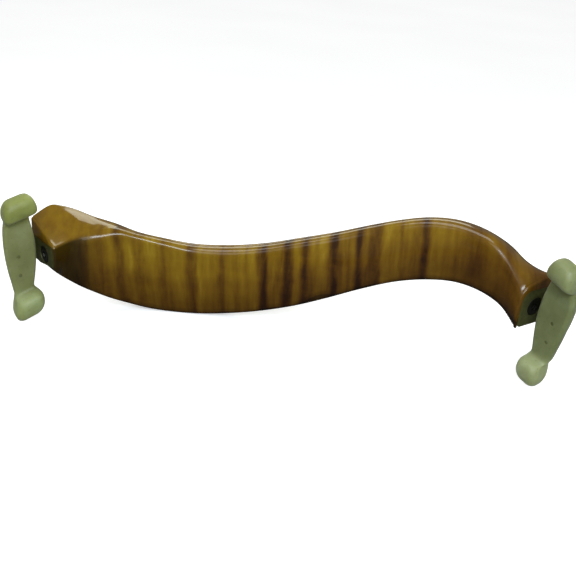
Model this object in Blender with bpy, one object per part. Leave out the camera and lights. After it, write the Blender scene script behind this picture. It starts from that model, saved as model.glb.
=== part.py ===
# Violin shoulder rest: a carved, S-curved maple bar with a metal bracket let
# into each end.  Every bracket arm carries a threaded post, and every post
# carries a swivelling two-eared claw in a moulded gum-rubber boot.
# Lengths in the constants are millimetres; the scene is built in metres.
# World frame: X along the bar, -Y the side that faces the violin, Z up with
# the rest standing on its long edge.  Origin: middle of the bounding box base.
# Side "L" is the -X end, side "R" the +X end.  Each end has its own frame:
#   out    square to the end face, away from the bar
#   front  along the end face, towards the violin and the middle of the rest
#   up     along Z (leaned a little for the claws)
import bpy
import bmesh
import math
import numpy as np
from mathutils import Matrix, Vector

MM = 0.001
GAP = 0.3                  # clearance between mating pieces
SIDES = ("L", "R")
SMOOTH_ANGLE = 35.0        # edges sharper than this stay sharp, degrees
CORNER_STEPS = 5           # segments in a rounded corner of an outline

# ---- placing of the two ends -------------------------------------------------
BAR_SHIFT = (0.0, -16.0, 32.61)  # bar drawing frame -> world frame
END_TURN = 50.0            # plan angle of the end faces' out direction from X
END_X = 96.65              # end-face reference point, distance from centre
END_Y = 8.5
END_LIP = 0.5              # wood stands this far proud of the bracket face

# ---- seat cut in each bar end for the bracket leaf ----------------------------
POCKET_DEPTH = 3.3
POCKET_MOUTH = 6.0         # cutter reach beyond the bracket face
POCKET_BACK = -18.0        # front coordinate, clear of the wood behind
POCKET_DROP = 12.0         # run-out below the leaf
POCKET_CORNER_R = 0.4

# ---- bracket: positions are out from its face and front/up in its plane -------
LEAF_T = 3.0
# leaf outline: (front, up, corner radius)
LEAF = {
    "L": ((8.4, 4.3, 1.4), (-11.8, 4.3, 1.4), (-11.8, -6.4, 1.4),
          (-5.0, -6.9, 2.0), (8.4, -4.6, 1.6)),
    "R": ((5.4, 8.4, 4.4), (-11.8, 8.4, 2.0), (-11.8, -6.4, 2.0), (5.4, -6.4, 2.4)),
}
ARM_BACK = -11.75
ARM_FRONT = -8.8
ARM_HALF = 3.5
ARM_ROOT = -LEAF_T + 0.6   # the arm starts inside the leaf
ARM_TIP_STEP = 10          # degrees per segment of the rounded tip
ARM_HOLE_D = 4.6
# fillet web in the corner of leaf and arm: (out, front from the arm's front face)
WEB = ((-0.5, -0.5), (2.2, -0.5), (2.2, 0.0), (1.1, 0.35), (0.35, 1.1),
       (0.0, 2.2), (-0.5, 2.2))
WEB_HALF = 3.4
POST_OUT = 7.6             # post axis, distance out from the bracket face

# ---- bracket screw and its threaded insert -------------------------------------
SCREW_AT = {"L": (-0.4, -1.6), "R": (-2.6, 0.9)}   # (front, up)
SCREW_HEAD_D = 7.0
SCREW_HEAD_H = 1.7
SCREW_TOP = -GAP / 3
SCREW_D = 3.5
SCREW_TIP = -8.6
SCREW_TIP_CHAMFER = 0.5
SCREW_HEAD_CHAMFER = 0.35
SOCKET_AF = 2.7            # across flats
SOCKET_DEPTH = 1.25
INSERT_OD = 5.6
INSERT_DEEP = -9.2
INSERT_TOP = -3.7
INSERT_RIBS = 4
RIB_DEPTH = 0.35
RIB_START = 0.4            # plain length at the deep end
RIB_PLAIN = 1.2            # plain length at both ends together
BORE_EXTRA = 0.5           # bore runs this much deeper than the insert
BORE_TOP = -1.0

# ---- claw, measured from its own centre on the pad face ----------------------
CLAW_OUT = {"L": 10.3, "R": 10.7}
CLAW_LEAN = {"L": -0.5, "R": 3.5}   # outward lean of the claw top, degrees
PAD_FRONT = 1.0                     # pad face, front from the end frame origin
CLAW_POST = {side: POST_OUT - CLAW_OUT[side] for side in SIDES}   # post axis
PAD_T = 5.7
TOP_SLANT = 13.0                    # slope of the ears along out, degrees
LOW_SLANT = {"L": 15.0, "R": 6.0}
SLANT_START = 9.0                   # height either way where the slant begins
SLANT_RUN = 8.0                     # height over which it grows to full
EAR_IN = {"L": 0.7, "R": -1.4}      # inner side of the top ears, extra reach
EAR_LOW = {"L": 0.0, "R": -1.1}     # the same for both sides of the lower ears
EAR_FULL = 4.0                      # front rise at which the extra is complete
PLATE_OUT = {"L": 0.0, "R": 0.6}    # outer flank of the plates, extra width
PLATE_OUT_UP = 9.0                  # height of the widest place
PLATE_OUT_HALF = 11.0               # height over which it fades
BOOT_BACK_IN = 0.4                  # inner flank's lean towards the back
BOOT_CORNER_STEPS = 3
HEAD_POCKET_GAP = 0.45              # round the post head
HEAD_POCKET_LAP = 0.2               # pocket overlap into the core cavity
MOUTH_GAP = 0.6                     # round the thrust washer
MOUTH_INNER = -14.0
MOUTH_STEP = 15                     # degrees per segment
MOUTH_LAP = 0.2
DIMPLE_R = 0.75
DIMPLE_DEPTH = 0.45
DIMPLES = ((0.9, 0.6), (0.9, -7.6))   # (out, up)

# boot sections: up, inner half width, outer half width, front face, back face,
# corner radius, how far the outer flank leans in at the back
BOOT = [
    (-25.4, 3.0, 3.2, 3.6, -0.1, 1.6, 0.3),
    (-24.9, 4.8, 4.6, 4.8, -1.2, 2.3, 0.6),
    (-23.6, 6.2, 5.6, 5.6, -2.4, 2.8, 1.0),
    (-21.6, 6.9, 6.0, 6.0, -3.6, 3.0, 1.3),
    (-19.6, 6.9, 5.7, 5.9, -4.4, 3.0, 1.5),
    (-17.9, 6.6, 5.1, 5.3, -4.9, 2.8, 1.6),
    (-16.8, 6.1, 4.7, 4.1, -5.2, 2.7, 1.7),
    (-16.2, 5.6, 4.4, 2.2, -5.4, 2.2, 1.8),
    (-15.6, 5.2, 4.3, 0.8, -5.5, 1.9, 2.0),
    (-14.4, 5.0, 4.4, 0.1, -5.6, 1.7, 2.0),
    (-11.5, 5.4, 4.9, 0.0, -5.7, 1.6, 2.1),
    (-7.0, 6.2, 5.7, 0.0, -5.7, 1.6, 2.2),
    (-2.0, 6.9, 6.3, 0.0, -5.7, 1.6, 2.2),
    (3.0, 7.1, 6.6, 0.0, -5.7, 1.6, 2.2),
    (8.0, 6.8, 6.6, 0.0, -5.7, 1.6, 2.2),
    (12.0, 6.1, 6.3, 0.0, -5.7, 1.6, 2.2),
    (14.8, 5.5, 5.8, 0.1, -5.7, 1.7, 2.1),
    (16.0, 5.6, 5.6, 0.6, -5.6, 1.9, 2.0),
    (16.7, 6.1, 5.8, 1.8, -5.5, 2.2, 1.9),
    (17.2, 6.6, 6.0, 3.4, -5.4, 2.4, 1.8),
    (18.2, 6.9, 6.3, 4.6, -5.2, 2.5, 1.7),
    (20.0, 6.7, 6.5, 5.2, -4.8, 2.6, 1.6),
    (22.2, 6.1, 6.4, 5.2, -4.0, 2.6, 1.5),
    (24.0, 5.3, 5.8, 4.6, -2.9, 2.5, 1.3),
    (25.2, 4.3, 4.8, 3.6, -1.8, 2.0, 0.9),
    (25.7, 2.9, 3.1, 2.4, -0.8, 1.4, 0.5),
]

# ---- steel core of the claw ----------------------------------------------------
CORE_BACK = -4.2
CORE_T = 1.4
CORE_MID = CORE_BACK + CORE_T / 2
# centre line of the strip from lower ear to top ear: (up, front)
CORE_PATH = [
    (-21.5, 3.2), (-21.5, 0.5), (-20.8, -0.7), (-19.2, -1.8), (-16.6, -2.8),
    (-13.5, CORE_MID), (-6.0, CORE_MID), (0.0, CORE_MID), (6.0, CORE_MID),
    (13.5, CORE_MID), (17.0, -3.0), (19.6, -2.2), (21.0, -1.1), (21.7, 0.3),
    (21.7, 2.2),
]
CORE_INNER_WALL = 2.0      # core edge inside the boot's inner half width
CORE_OUTER_WALL = 3.9      # the same at the outer flank
CORE_EAR_UP = 12.0         # beyond this height the ear width limit holds
CORE_EAR_HALF = 3.4        # greatest inner half width in the ears
CORE_PLATE_HALF = 9.0      # the same in the plate
CORE_OUTER_LESS = 0.6      # the outer limit is this much smaller
MITRE_LIMIT = 0.5          # smallest cosine used to widen a bend

# ---- post and its hardware; spans are (back, front) from the pad face ----------
POST_D = 4.0
POST_TAIL = -16.0
POST_TAIL_CHAMFER = 0.6
PITCH = 0.7
THREAD_DEPTH = 0.3
THREAD_CREST = 0.1         # end of the crest, share of the pitch
THREAD_ROOT = 0.55         # root, share of the pitch
THREAD_END_CREST = 0.1     # length before the plain shank
THREAD_RUNOUT = 0.7        # least plain length behind the collar
COLLAR = (-6.4, -5.4)
COLLAR_D = 6.2
COLLAR_CHAMFER = 0.25
JOURNAL_D = 3.0
HEAD = (-2.5, -1.75)
HEAD_D = 4.8
HEAD_RIM_H = 0.3
HEAD_SHOULDER = (0.7, 0.08)   # in from the rim, down from the top
HEAD_FLAT_R = 0.9
THRUST = (-5.1, -4.5)
THRUST_D = 6.4
NUT = (-8.8, -7.2)
NUT_D = 8.0
NUT_TEETH = 20
NUT_TOOTH_DEPTH = 0.35
NUT_CHAMFER_H = 0.3
NUT_CHAMFER_IN = 0.6
NUT_SMOOTH_ANGLE = 25.0
LOCK_WASHER = (-9.5, -9.1)
LOCK_WASHER_D = 7.4
WASHER_CHAMFER = 0.15

# ---- bar: stations from left to right ---------------------------------------
# front-top x y z | front-bottom x y z | plan angle of the section |
# thickness at the top, rise of the back-top edge | thickness at the bottom,
# rise of the back-bottom edge | radii: front-top, front-bottom, back edges
BAR = [
    (-86.0, 10.6, 4.9, -86.9, 9.8, -13.2, -49, 16.8, 11.6, 14.4, 0.8, 1.4, 1.4, 2.6),
    (-83.6, 13.0, 5.0, -83.5, 13.2, -17.3, -46, 16.0, 10.8, 13.6, 1.0, 1.4, 1.5, 2.8),
    (-80.0, 16.3, 5.2, -79.0, 17.2, -21.6, -43, 14.9, 8.2, 12.6, 1.4, 1.5, 1.6, 2.8),
    (-76.0, 19.2, 5.7, -74.0, 20.8, -25.4, -38, 13.6, 4.4, 11.4, 1.6, 1.5, 1.6, 3.0),
    (-69.5, 23.0, 6.6, -66.5, 24.8, -29.3, -30, 12.2, -0.6, 10.6, 1.6, 1.6, 1.8, 3.0),
    (-62.0, 26.2, 4.4, -59.0, 26.9, -31.6, -20, 10.8, -3.0, 10.0, 1.6, 1.8, 1.8, 3.0),
    (-53.0, 28.2, 2.2, -50.0, 28.4, -32.8, -12, 9.8, -2.8, 9.4, 1.6, 2.0, 2.0, 3.0),
    (-40.0, 29.8, -0.1, -38.0, 29.2, -32.7, -5, 9.2, -1.8, 9.0, 1.4, 2.2, 2.2, 3.0),
    (-25.0, 30.7, 0.4, -24.0, 29.2, -30.7, 0, 9.0, -1.2, 9.0, 1.2, 2.4, 2.4, 3.0),
    (-10.0, 31.2, 3.0, -10.0, 28.7, -27.4, 0, 9.0, -1.2, 9.0, 1.2, 2.6, 2.6, 3.0),
    (5.0, 31.4, 7.6, 5.0, 27.8, -22.4, 0, 9.0, -1.8, 9.2, 1.2, 2.8, 2.8, 3.0),
    (20.0, 31.3, 12.6, 19.0, 26.8, -16.2, 0, 9.0, -2.6, 9.4, 1.0, 3.0, 3.0, 3.2),
    (34.0, 30.8, 18.0, 33.0, 25.7, -9.4, 2, 9.2, -3.2, 9.8, 1.0, 3.2, 3.2, 3.4),
    (46.0, 29.2, 22.6, 46.0, 24.4, -3.8, 6, 9.6, -3.6, 10.2, 1.0, 3.6, 3.4, 3.6),
    (56.5, 27.2, 25.6, 57.5, 22.8, -0.5, 12, 10.4, -3.8, 11.0, 1.0, 4.0, 3.6, 3.8),
    (65.5, 24.4, 26.6, 67.5, 20.4, 1.2, 22, 11.6, -3.9, 12.0, 1.0, 4.6, 3.8, 4.0),
    (73.2, 20.8, 26.0, 75.2, 17.8, 1.0, 32, 13.0, -4.6, 13.0, 0.8, 5.4, 3.6, 4.0),
    (79.8, 16.8, 24.4, 81.4, 14.2, 0.0, 41, 14.4, -6.6, 14.0, 0.6, 5.6, 3.2, 3.6),
    (85.2, 12.6, 19.8, 86.4, 10.9, -2.0, 47, 15.2, -6.4, 14.8, 0.2, 6.4, 2.6, 3.2),
]
# end sections in the plane of each end face: (front, up) of front-top, back-top,
# back-bottom, front-bottom, then the front-top, front-bottom and back radii
END_RING = {
    "L": ((10.4, 5.3), (-9.4, 12.6), (-8.6, -7.6), (9.4, -5.4), 1.2, 1.2, 1.6),
    "R": ((7.0, 10.4), (-9.8, 13.2), (-8.8, -7.0), (6.8, -6.8), 6.4, 2.6, 1.8),
}
BAR_STEPS = 2        # rings added between neighbouring stations
BAR_CORNER_STEPS = 3
BAR_FACE_STEPS = 3
END_ROUND = 0.8      # round-over of the end edges
END_ROUND_MID = 0.29 # middle of the round-over, share of its size each way
FACE_CROWN = 0.7     # bulge of the broad front and back faces
EDGE_CROWN = 0.25    # bulge of the narrow top and bottom faces


# ---- scene helpers --------------------------------------------------------------
def clear_scene():
    for obj in list(bpy.data.objects):
        bpy.data.objects.remove(obj, do_unlink=True)
    for mesh in list(bpy.data.meshes):
        bpy.data.meshes.remove(mesh)


def material(name, color, metallic, roughness, **coat):
    """coat: Principled coat inputs, e.g. coat_weight for "Coat Weight"."""
    mat = bpy.data.materials.new(name)
    mat.use_nodes = True
    inputs = mat.node_tree.nodes["Principled BSDF"].inputs
    inputs["Base Color"].default_value = (*color, 1.0)
    inputs["Metallic"].default_value = metallic
    inputs["Roughness"].default_value = roughness
    for key, value in coat.items():
        inputs[key.replace("_", " ").title()].default_value = value
    mat.diffuse_color = (*color, 1.0)
    return mat


def shade(mesh, angle=SMOOTH_ANGLE):
    mesh.shade_smooth()
    mesh.set_sharp_from_angle(angle=math.radians(angle))


def add_object(name, solid, mat=None, angle=SMOOTH_ANGLE):
    """Make an object of a solid: (points in millimetres, faces)."""
    points, faces = solid
    mesh = bpy.data.meshes.new(name)
    mesh.from_pydata([tuple(c * MM for c in point) for point in points], [], faces)
    bm = bmesh.new()
    bm.from_mesh(mesh)
    bmesh.ops.recalc_face_normals(bm, faces=bm.faces)
    bm.to_mesh(mesh)
    bm.free()
    shade(mesh, angle)
    obj = bpy.data.objects.new(name, mesh)
    bpy.context.scene.collection.objects.link(obj)
    if mat:
        mesh.materials.append(mat)
    return obj


def combine(target, solid, operation):
    """Apply an exact boolean of the solid to the target object."""
    tool = add_object("tool", solid)
    modifier = target.modifiers.new(operation.lower(), "BOOLEAN")
    modifier.operation = operation
    modifier.solver = "EXACT"
    modifier.object = tool
    depsgraph = bpy.context.evaluated_depsgraph_get()
    mesh = bpy.data.meshes.new_from_object(target.evaluated_get(depsgraph))
    old_mesh = target.data
    target.modifiers.clear()
    target.data = mesh
    mesh.name = target.name
    # carry the materials over if the evaluated mesh comes without slots
    if not mesh.materials:
        for mat in old_mesh.materials:
            mesh.materials.append(mat)
    tool_mesh = tool.data
    bpy.data.objects.remove(tool, do_unlink=True)
    bpy.data.meshes.remove(old_mesh)
    bpy.data.meshes.remove(tool_mesh)
    shade(mesh)


def cut(target, solid):
    combine(target, solid, "DIFFERENCE")


def join(target, solid):
    combine(target, solid, "UNION")


def set_pivot(obj, side):
    """Put the object's origin on the post axis of its end."""
    pivot = post_frame(side)[0] * MM
    obj.data.transform(Matrix.Translation(-pivot))
    obj.location = pivot


# ---- end frames ---------------------------------------------------------------
def end_frame(side, lean=0.0):
    """Origin and the out, front and up directions; lean in degrees."""
    sign = -1.0 if side == "L" else 1.0
    turn = math.radians(END_TURN)
    tilt = math.radians(lean)
    out = Vector((sign * math.cos(turn), -math.sin(turn), 0.0))
    front = Vector((-sign * math.sin(turn), -math.cos(turn), 0.0))
    up = Vector((0.0, 0.0, 1.0))
    origin = Vector((sign * END_X, END_Y, 0.0)) + Vector(BAR_SHIFT)
    leaned_out = out * math.cos(tilt) - up * math.sin(tilt)
    leaned_up = up * math.cos(tilt) + out * math.sin(tilt)
    return origin, leaned_out, front, leaned_up


def post_frame(side):
    """End frame moved to the post axis, level with the pad face."""
    origin, out, front, up = end_frame(side)
    return origin + out * POST_OUT + front * PAD_FRONT, out, front, up


def claw_frame(side):
    """Leaned frame at the claw's own centre."""
    _, out, front, up = end_frame(side, CLAW_LEAN[side])
    return post_frame(side)[0] - out * CLAW_POST[side], out, front, up


def placed(solid, frame, at=(0.0, 0.0, 0.0)):
    """Move a solid given in (out, front, up) into the world."""
    points, faces = solid
    origin, out, front, up = frame
    base = origin + out * at[0] + front * at[1] + up * at[2]
    return [tuple(base + out * p[0] + front * p[1] + up * p[2]) for p in points], faces


def at_screw(solid, side):
    return placed(solid, end_frame(side), (0, *SCREW_AT[side]))


def at_claw_post(solid, side):
    return placed(solid, claw_frame(side), (CLAW_POST[side], 0, 0))


# ---- solids and outlines (points in out, front, up) ------------------------------
def loft(sections, closed=False):
    """Skin equal-sized rings; closed joins last to first, else the ends are capped."""
    size, count = len(sections[0]), len(sections)
    points = [point for section in sections for point in section]
    faces = []
    for i in range(count if closed else count - 1):
        here, there = i * size, (i + 1) % count * size
        for j in range(size):
            k = (j + 1) % size
            faces.append((here + j, here + k, there + k, there + j))
    if not closed:
        last = (count - 1) * size
        faces.append(tuple(range(size)))
        faces.append(tuple(range(last + size - 1, last - 1, -1)))
    return points, faces


def lift(outline, height, axis):
    """Set a 2-D outline at a height along the axis 'out', 'front' or 'up'."""
    slot = ("out", "front", "up").index(axis)
    return [(*point[:slot], height, *point[slot:]) for point in outline]


def prism(outline, low, high, axis):
    return loft([lift(outline, height, axis) for height in (low, high)])


def circle(radius, segments):
    return [(radius * math.cos(2 * math.pi * i / segments),
             radius * math.sin(2 * math.pi * i / segments)) for i in range(segments)]


def lathe(profile, segments, axis, closed=False):
    """Turn a (radius, height) profile; closed makes a ring, else a solid."""
    return loft([lift(circle(radius, segments), height, axis)
                 for radius, height in profile], closed)


def tongue(centre, radius, root, step):
    """(out, up) strip from root, ending in a half circle round (centre, 0)."""
    arc = [(centre + radius * math.cos(math.radians(angle)),
            radius * math.sin(math.radians(angle))) for angle in range(-90, 91, step)]
    return arc + [(root, radius), (root, -radius)]


def rounded_poly(corners, steps=CORNER_STEPS):
    """Fillet every corner of a convex outline; corners are (a, b, radius)."""
    points = []
    for i, (a, b, radius) in enumerate(corners):
        corner = Vector((a, b))
        to_last = (Vector(corners[i - 1][:2]) - corner).normalized()
        to_next = (Vector(corners[(i + 1) % len(corners)][:2]) - corner).normalized()
        half = to_last.angle(to_next) / 2
        trim = radius / math.tan(half)
        centre = corner + (to_last + to_next).normalized() * (radius / math.sin(half))
        start = (corner + to_last * trim - centre).normalized()
        end = (corner + to_next * trim - centre).normalized()
        for j in range(steps + 1):
            spoke = start.slerp(end, j / steps) * radius
            points.append((centre.x + spoke.x, centre.y + spoke.y))
    return points


# ---- bar ------------------------------------------------------------------------
def catmull(rows, steps):
    """Centripetal Catmull-Rom through the rows, every station kept.

    Knots are spaced by the travel of the two front edges (first six columns).
    """
    def blend(a, b, start, end, t):
        return (end - t) / (end - start) * a + (t - start) / (end - start) * b

    rows = [np.array(row, float) for row in rows]
    result = []
    for i in range(len(rows) - 1):
        p1, p2 = rows[i], rows[i + 1]
        p0 = rows[i - 1] if i else 2 * p1 - p2
        p3 = rows[i + 2] if i + 2 < len(rows) else 2 * p2 - p1
        t0 = 0.0
        t1 = t0 + np.linalg.norm((p1 - p0)[:6]) ** 0.5
        t2 = t1 + np.linalg.norm((p2 - p1)[:6]) ** 0.5
        t3 = t2 + np.linalg.norm((p3 - p2)[:6]) ** 0.5
        for step in range(steps + 1):
            t = t1 + (t2 - t1) * step / (steps + 1)
            a1 = blend(p0, p1, t0, t1, t)
            a2 = blend(p1, p2, t1, t2, t)
            a3 = blend(p2, p3, t2, t3, t)
            b1 = blend(a1, a2, t0, t2, t)
            b2 = blend(a2, a3, t1, t3, t)
            result.append(blend(b1, b2, t1, t2, t))
    result.append(rows[-1])
    return result


# Bar rows hold: front-top, front-bottom, back-top, back-bottom points (x y z
# each), then the front-top, front-bottom and back radii.
def end_row(side):
    origin, out, front, up = end_frame(side)
    origin = origin - Vector(BAR_SHIFT) + out * END_LIP
    front_top, back_top, back_low, front_low = [
        origin + front * a + up * b for a, b in END_RING[side][:4]]
    return [*front_top, *front_low, *back_top, *back_low, *END_RING[side][4:]]


def bar_rows():
    rows = [end_row("L")]
    for (x1, y1, z1, x2, y2, z2, angle, top_t, top_rise, low_t, low_rise,
         *radii) in BAR:
        turn = math.radians(angle)
        dx, dy = math.sin(turn), math.cos(turn)
        rows.append([x1, y1, z1, x2, y2, z2,
                     x1 + top_t * dx, y1 + top_t * dy, z1 + top_rise,
                     x2 + low_t * dx, y2 + low_t * dy, z2 + low_rise, *radii])
    rows.append(end_row("R"))
    return rows


def bar_ring(row):
    """Section with rounded corners and slightly bulging sides."""
    front_top, front_low = Vector(row[0:3]), Vector(row[3:6])
    back_top, back_low = Vector(row[6:9]), Vector(row[9:12])
    front_top_r, front_low_r, back_r = row[12:15]
    corners = [(front_top, front_top_r), (back_top, back_r),
               (back_low, back_r), (front_low, front_low_r)]
    middle = (front_top + front_low + back_top + back_low) / 4
    crowns = (EDGE_CROWN, FACE_CROWN, EDGE_CROWN, FACE_CROWN)
    ring = []
    for i, (corner, radius) in enumerate(corners):
        last = corners[i - 1][0]
        following, following_r = corners[(i + 1) % 4]
        start = corner + (last - corner).normalized() * radius
        end = corner + (following - corner).normalized() * radius
        for step in range(BAR_CORNER_STEPS + 1):
            t = step / BAR_CORNER_STEPS
            ring.append(start * (1 - t) ** 2 + corner * (2 * t * (1 - t)) + end * t * t)
        far_end = following + (corner - following).normalized() * following_r
        away = (corner + following) / 2 - middle
        along = (following - corner).normalized()
        away = (away - along * away.dot(along)).normalized()
        for step in range(1, BAR_FACE_STEPS):
            t = step / BAR_FACE_STEPS
            ring.append(end.lerp(far_end, t) + away * crowns[i] * 4 * t * (1 - t))
    return ring


def rounded_end(ring, side):
    """Three rings, outermost first, that round the sides over to the end face."""
    centre = sum(ring, Vector()) / len(ring)
    out = end_frame(side)[1]
    middle = END_ROUND * END_ROUND_MID
    return [[p + (centre - p).normalized() * inward - out * back for p in ring]
            for inward, back in ((END_ROUND, 0.0), (middle, middle), (0.0, END_ROUND))]


def pocket_outline(side):
    """Seat for the leaf: GAP at front and top, run out through the back and base."""
    front = max(corner[0] for corner in LEAF[side]) + GAP
    top = max(corner[1] for corner in LEAF[side]) + GAP
    low = min(corner[1] for corner in LEAF[side]) - POCKET_DROP
    return rounded_poly(((front, top, LEAF[side][0][2] + GAP),
                         (POCKET_BACK, top, POCKET_CORNER_R),
                         (POCKET_BACK, low, POCKET_CORNER_R),
                         (front, low, POCKET_CORNER_R)))


def build_bar(mat):
    rings = [bar_ring(row) for row in catmull(bar_rows(), BAR_STEPS)]
    rings = (rounded_end(rings[0], "L") + rings[1:-1]
             + rounded_end(rings[-1], "R")[::-1])
    shift = Vector(BAR_SHIFT)
    bar = add_object("bar", loft([[tuple(p + shift) for p in ring] for ring in rings]),
                     mat)
    bore = prism(circle(INSERT_OD / 2 + GAP, 24), INSERT_DEEP - BORE_EXTRA, BORE_TOP,
                 "out")
    for side in SIDES:
        pocket = prism(pocket_outline(side), -POCKET_DEPTH, POCKET_MOUTH, "out")
        cut(bar, placed(pocket, end_frame(side)))
        cut(bar, at_screw(bore, side))


# ---- bracket and its fixings ------------------------------------------------------
def build_bracket(side, mat):
    frame = end_frame(side)
    leaf = prism(rounded_poly(LEAF[side]), -LEAF_T, 0.0, "out")
    bracket = add_object("bracket_" + side, placed(leaf, frame), mat)
    arm = tongue(POST_OUT, ARM_HALF, ARM_ROOT, ARM_TIP_STEP)
    join(bracket, placed(prism(arm, ARM_BACK, ARM_FRONT, "front"), frame))
    web = [(out, ARM_FRONT + rise) for out, rise in WEB]
    join(bracket, placed(prism(web, -WEB_HALF, WEB_HALF, "up"), frame))
    post_hole = prism(circle(ARM_HOLE_D / 2, 24), ARM_BACK - 1, ARM_FRONT + 1, "front")
    cut(bracket, placed(post_hole, frame, (POST_OUT, 0, 0)))
    screw_hole = prism(circle(SCREW_D / 2 + GAP, 24), -LEAF_T - 1, 1.0, "out")
    cut(bracket, at_screw(screw_hole, side))
    counterbore = prism(circle(SCREW_HEAD_D / 2 + GAP, 28), -SCREW_HEAD_H - 2 * GAP,
                        1.0, "out")
    cut(bracket, at_screw(counterbore, side))


def build_screw(side, mat):
    """Cylinder-head screw with a hexagon socket."""
    shank_r, head_r = SCREW_D / 2, SCREW_HEAD_D / 2
    under_head = SCREW_TOP - SCREW_HEAD_H
    profile = [(shank_r - SCREW_TIP_CHAMFER, SCREW_TIP),
               (shank_r, SCREW_TIP + SCREW_TIP_CHAMFER),
               (shank_r, under_head), (head_r, under_head),
               (head_r, SCREW_TOP - SCREW_HEAD_CHAMFER),
               (head_r - SCREW_HEAD_CHAMFER, SCREW_TOP)]
    screw = add_object("bracket_screw_" + side,
                       at_screw(lathe(profile, 24, "out"), side), mat)
    hexagon = circle(SOCKET_AF / 2 / math.cos(math.pi / 6), 6)
    cut(screw, at_screw(prism(hexagon, SCREW_TOP - SOCKET_DEPTH, 1.0, "out"), side))


def build_insert(side, mat):
    """Sleeve with ribs round the outside."""
    outer_r, bore_r = INSERT_OD / 2, SCREW_D / 2 + GAP
    root_r = outer_r - RIB_DEPTH
    ribbed = INSERT_TOP - INSERT_DEEP - RIB_PLAIN
    rib = ribbed / INSERT_RIBS
    profile = [(bore_r, INSERT_DEEP), (root_r, INSERT_DEEP)]
    for i in range(INSERT_RIBS):
        start = INSERT_DEEP + RIB_START + ribbed * i / INSERT_RIBS
        profile += [(root_r, start), (outer_r, start + rib * 0.3),
                    (outer_r, start + rib * 0.5), (root_r, start + rib * 0.8)]
    profile += [(root_r, INSERT_TOP), (bore_r, INSERT_TOP)]
    add_object("insert_" + side,
               at_screw(lathe(profile, 16, "out", closed=True), side), mat)


# ---- post hardware --------------------------------------------------------------
def build_post(side, mat):
    """Threaded post: tail, ring grooves for a thread, collar, journal and head."""
    post_r, collar_r, journal_r, head_r = POST_D / 2, COLLAR_D / 2, JOURNAL_D / 2, HEAD_D / 2
    height = POST_TAIL + POST_TAIL_CHAMFER
    profile = [(post_r - POST_TAIL_CHAMFER, POST_TAIL), (post_r, height)]
    while height + PITCH < COLLAR[0] - THREAD_RUNOUT:
        profile += [(post_r, height + PITCH * THREAD_CREST),
                    (post_r - THREAD_DEPTH, height + PITCH * THREAD_ROOT)]
        height += PITCH
    shoulder_in, shoulder_down = HEAD_SHOULDER
    profile += [(post_r, height + THREAD_END_CREST), (post_r, COLLAR[0]),
                (collar_r - COLLAR_CHAMFER, COLLAR[0]),
                (collar_r, COLLAR[0] + COLLAR_CHAMFER),
                (collar_r, COLLAR[1] - COLLAR_CHAMFER),
                (collar_r - COLLAR_CHAMFER, COLLAR[1]),
                (journal_r, COLLAR[1]), (journal_r, HEAD[0]),
                (head_r, HEAD[0]), (head_r, HEAD[0] + HEAD_RIM_H),
                (head_r - shoulder_in, HEAD[1] - shoulder_down),
                (HEAD_FLAT_R, HEAD[1])]
    return add_object("post_" + side,
                      placed(lathe(profile, 16, "front"), post_frame(side)), mat)


def build_nut(side, mat):
    """Round nut with a toothed rim."""
    outer_r = NUT_D / 2
    count = NUT_TEETH * 2
    inner = circle(POST_D / 2 + GAP, count)
    tips, roots = circle(outer_r, count), circle(outer_r - NUT_TOOTH_DEPTH, count)
    outer = [tips[i] if i % 2 else roots[i] for i in range(count)]
    scale = (outer_r - NUT_CHAMFER_IN) / outer_r
    chamfered = [(a * scale, b * scale) for a, b in outer]
    back, front = NUT
    sections = [lift(outline, height, "front") for outline, height in (
        (inner, back), (chamfered, back), (outer, back + NUT_CHAMFER_H),
        (outer, front - NUT_CHAMFER_H), (chamfered, front), (inner, front))]
    return add_object("lock_nut_" + side,
                      placed(loft(sections, closed=True), post_frame(side)), mat,
                      angle=NUT_SMOOTH_ANGLE)


def build_washer(name, side, inner_r, outer_r, span, mat):
    back, front = span
    flat_r = outer_r - WASHER_CHAMFER
    profile = [(inner_r, back), (flat_r, back), (outer_r, back + WASHER_CHAMFER),
               (outer_r, front - WASHER_CHAMFER), (flat_r, front), (inner_r, front)]
    return add_object(name + side, placed(lathe(profile, 20, "front", closed=True),
                                          post_frame(side)), mat)


# ---- claw ---------------------------------------------------------------------------
def sheared(points, side):
    """Slope the ears: the points drop with distance out, more at the claw's ends."""
    def ease(x):
        x = max(0.0, min(1.0, x))
        return x * x * (3 - 2 * x)

    def slant(up):
        return (math.tan(math.radians(TOP_SLANT)) * ease((up - SLANT_START) / SLANT_RUN)
                + math.tan(math.radians(LOW_SLANT[side]))
                * ease((-up - SLANT_START) / SLANT_RUN))

    return [(out, front, up - out * slant(up)) for out, front, up in points]


def boot_ring(row, side):
    """Boot section: the outer flank leans in towards the back."""
    up, inner, outer, front, back, radius, lean = row
    ear = max(0.0, min(1.0, front / EAR_FULL))
    if up > 0.0:
        inner += EAR_IN[side] * ear
    else:
        inner += EAR_LOW[side] * ear
        outer += EAR_LOW[side] * ear
    outer += PLATE_OUT[side] * max(0.0, 1.0 - ((up - PLATE_OUT_UP) / PLATE_OUT_HALF) ** 2)
    corners = ((outer, front, radius), (-inner, front, radius),
               (-inner + BOOT_BACK_IN, back, radius), (outer - lean, back, radius))
    return sheared(lift(rounded_poly(corners, BOOT_CORNER_STEPS), up, "up"), side)


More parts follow.
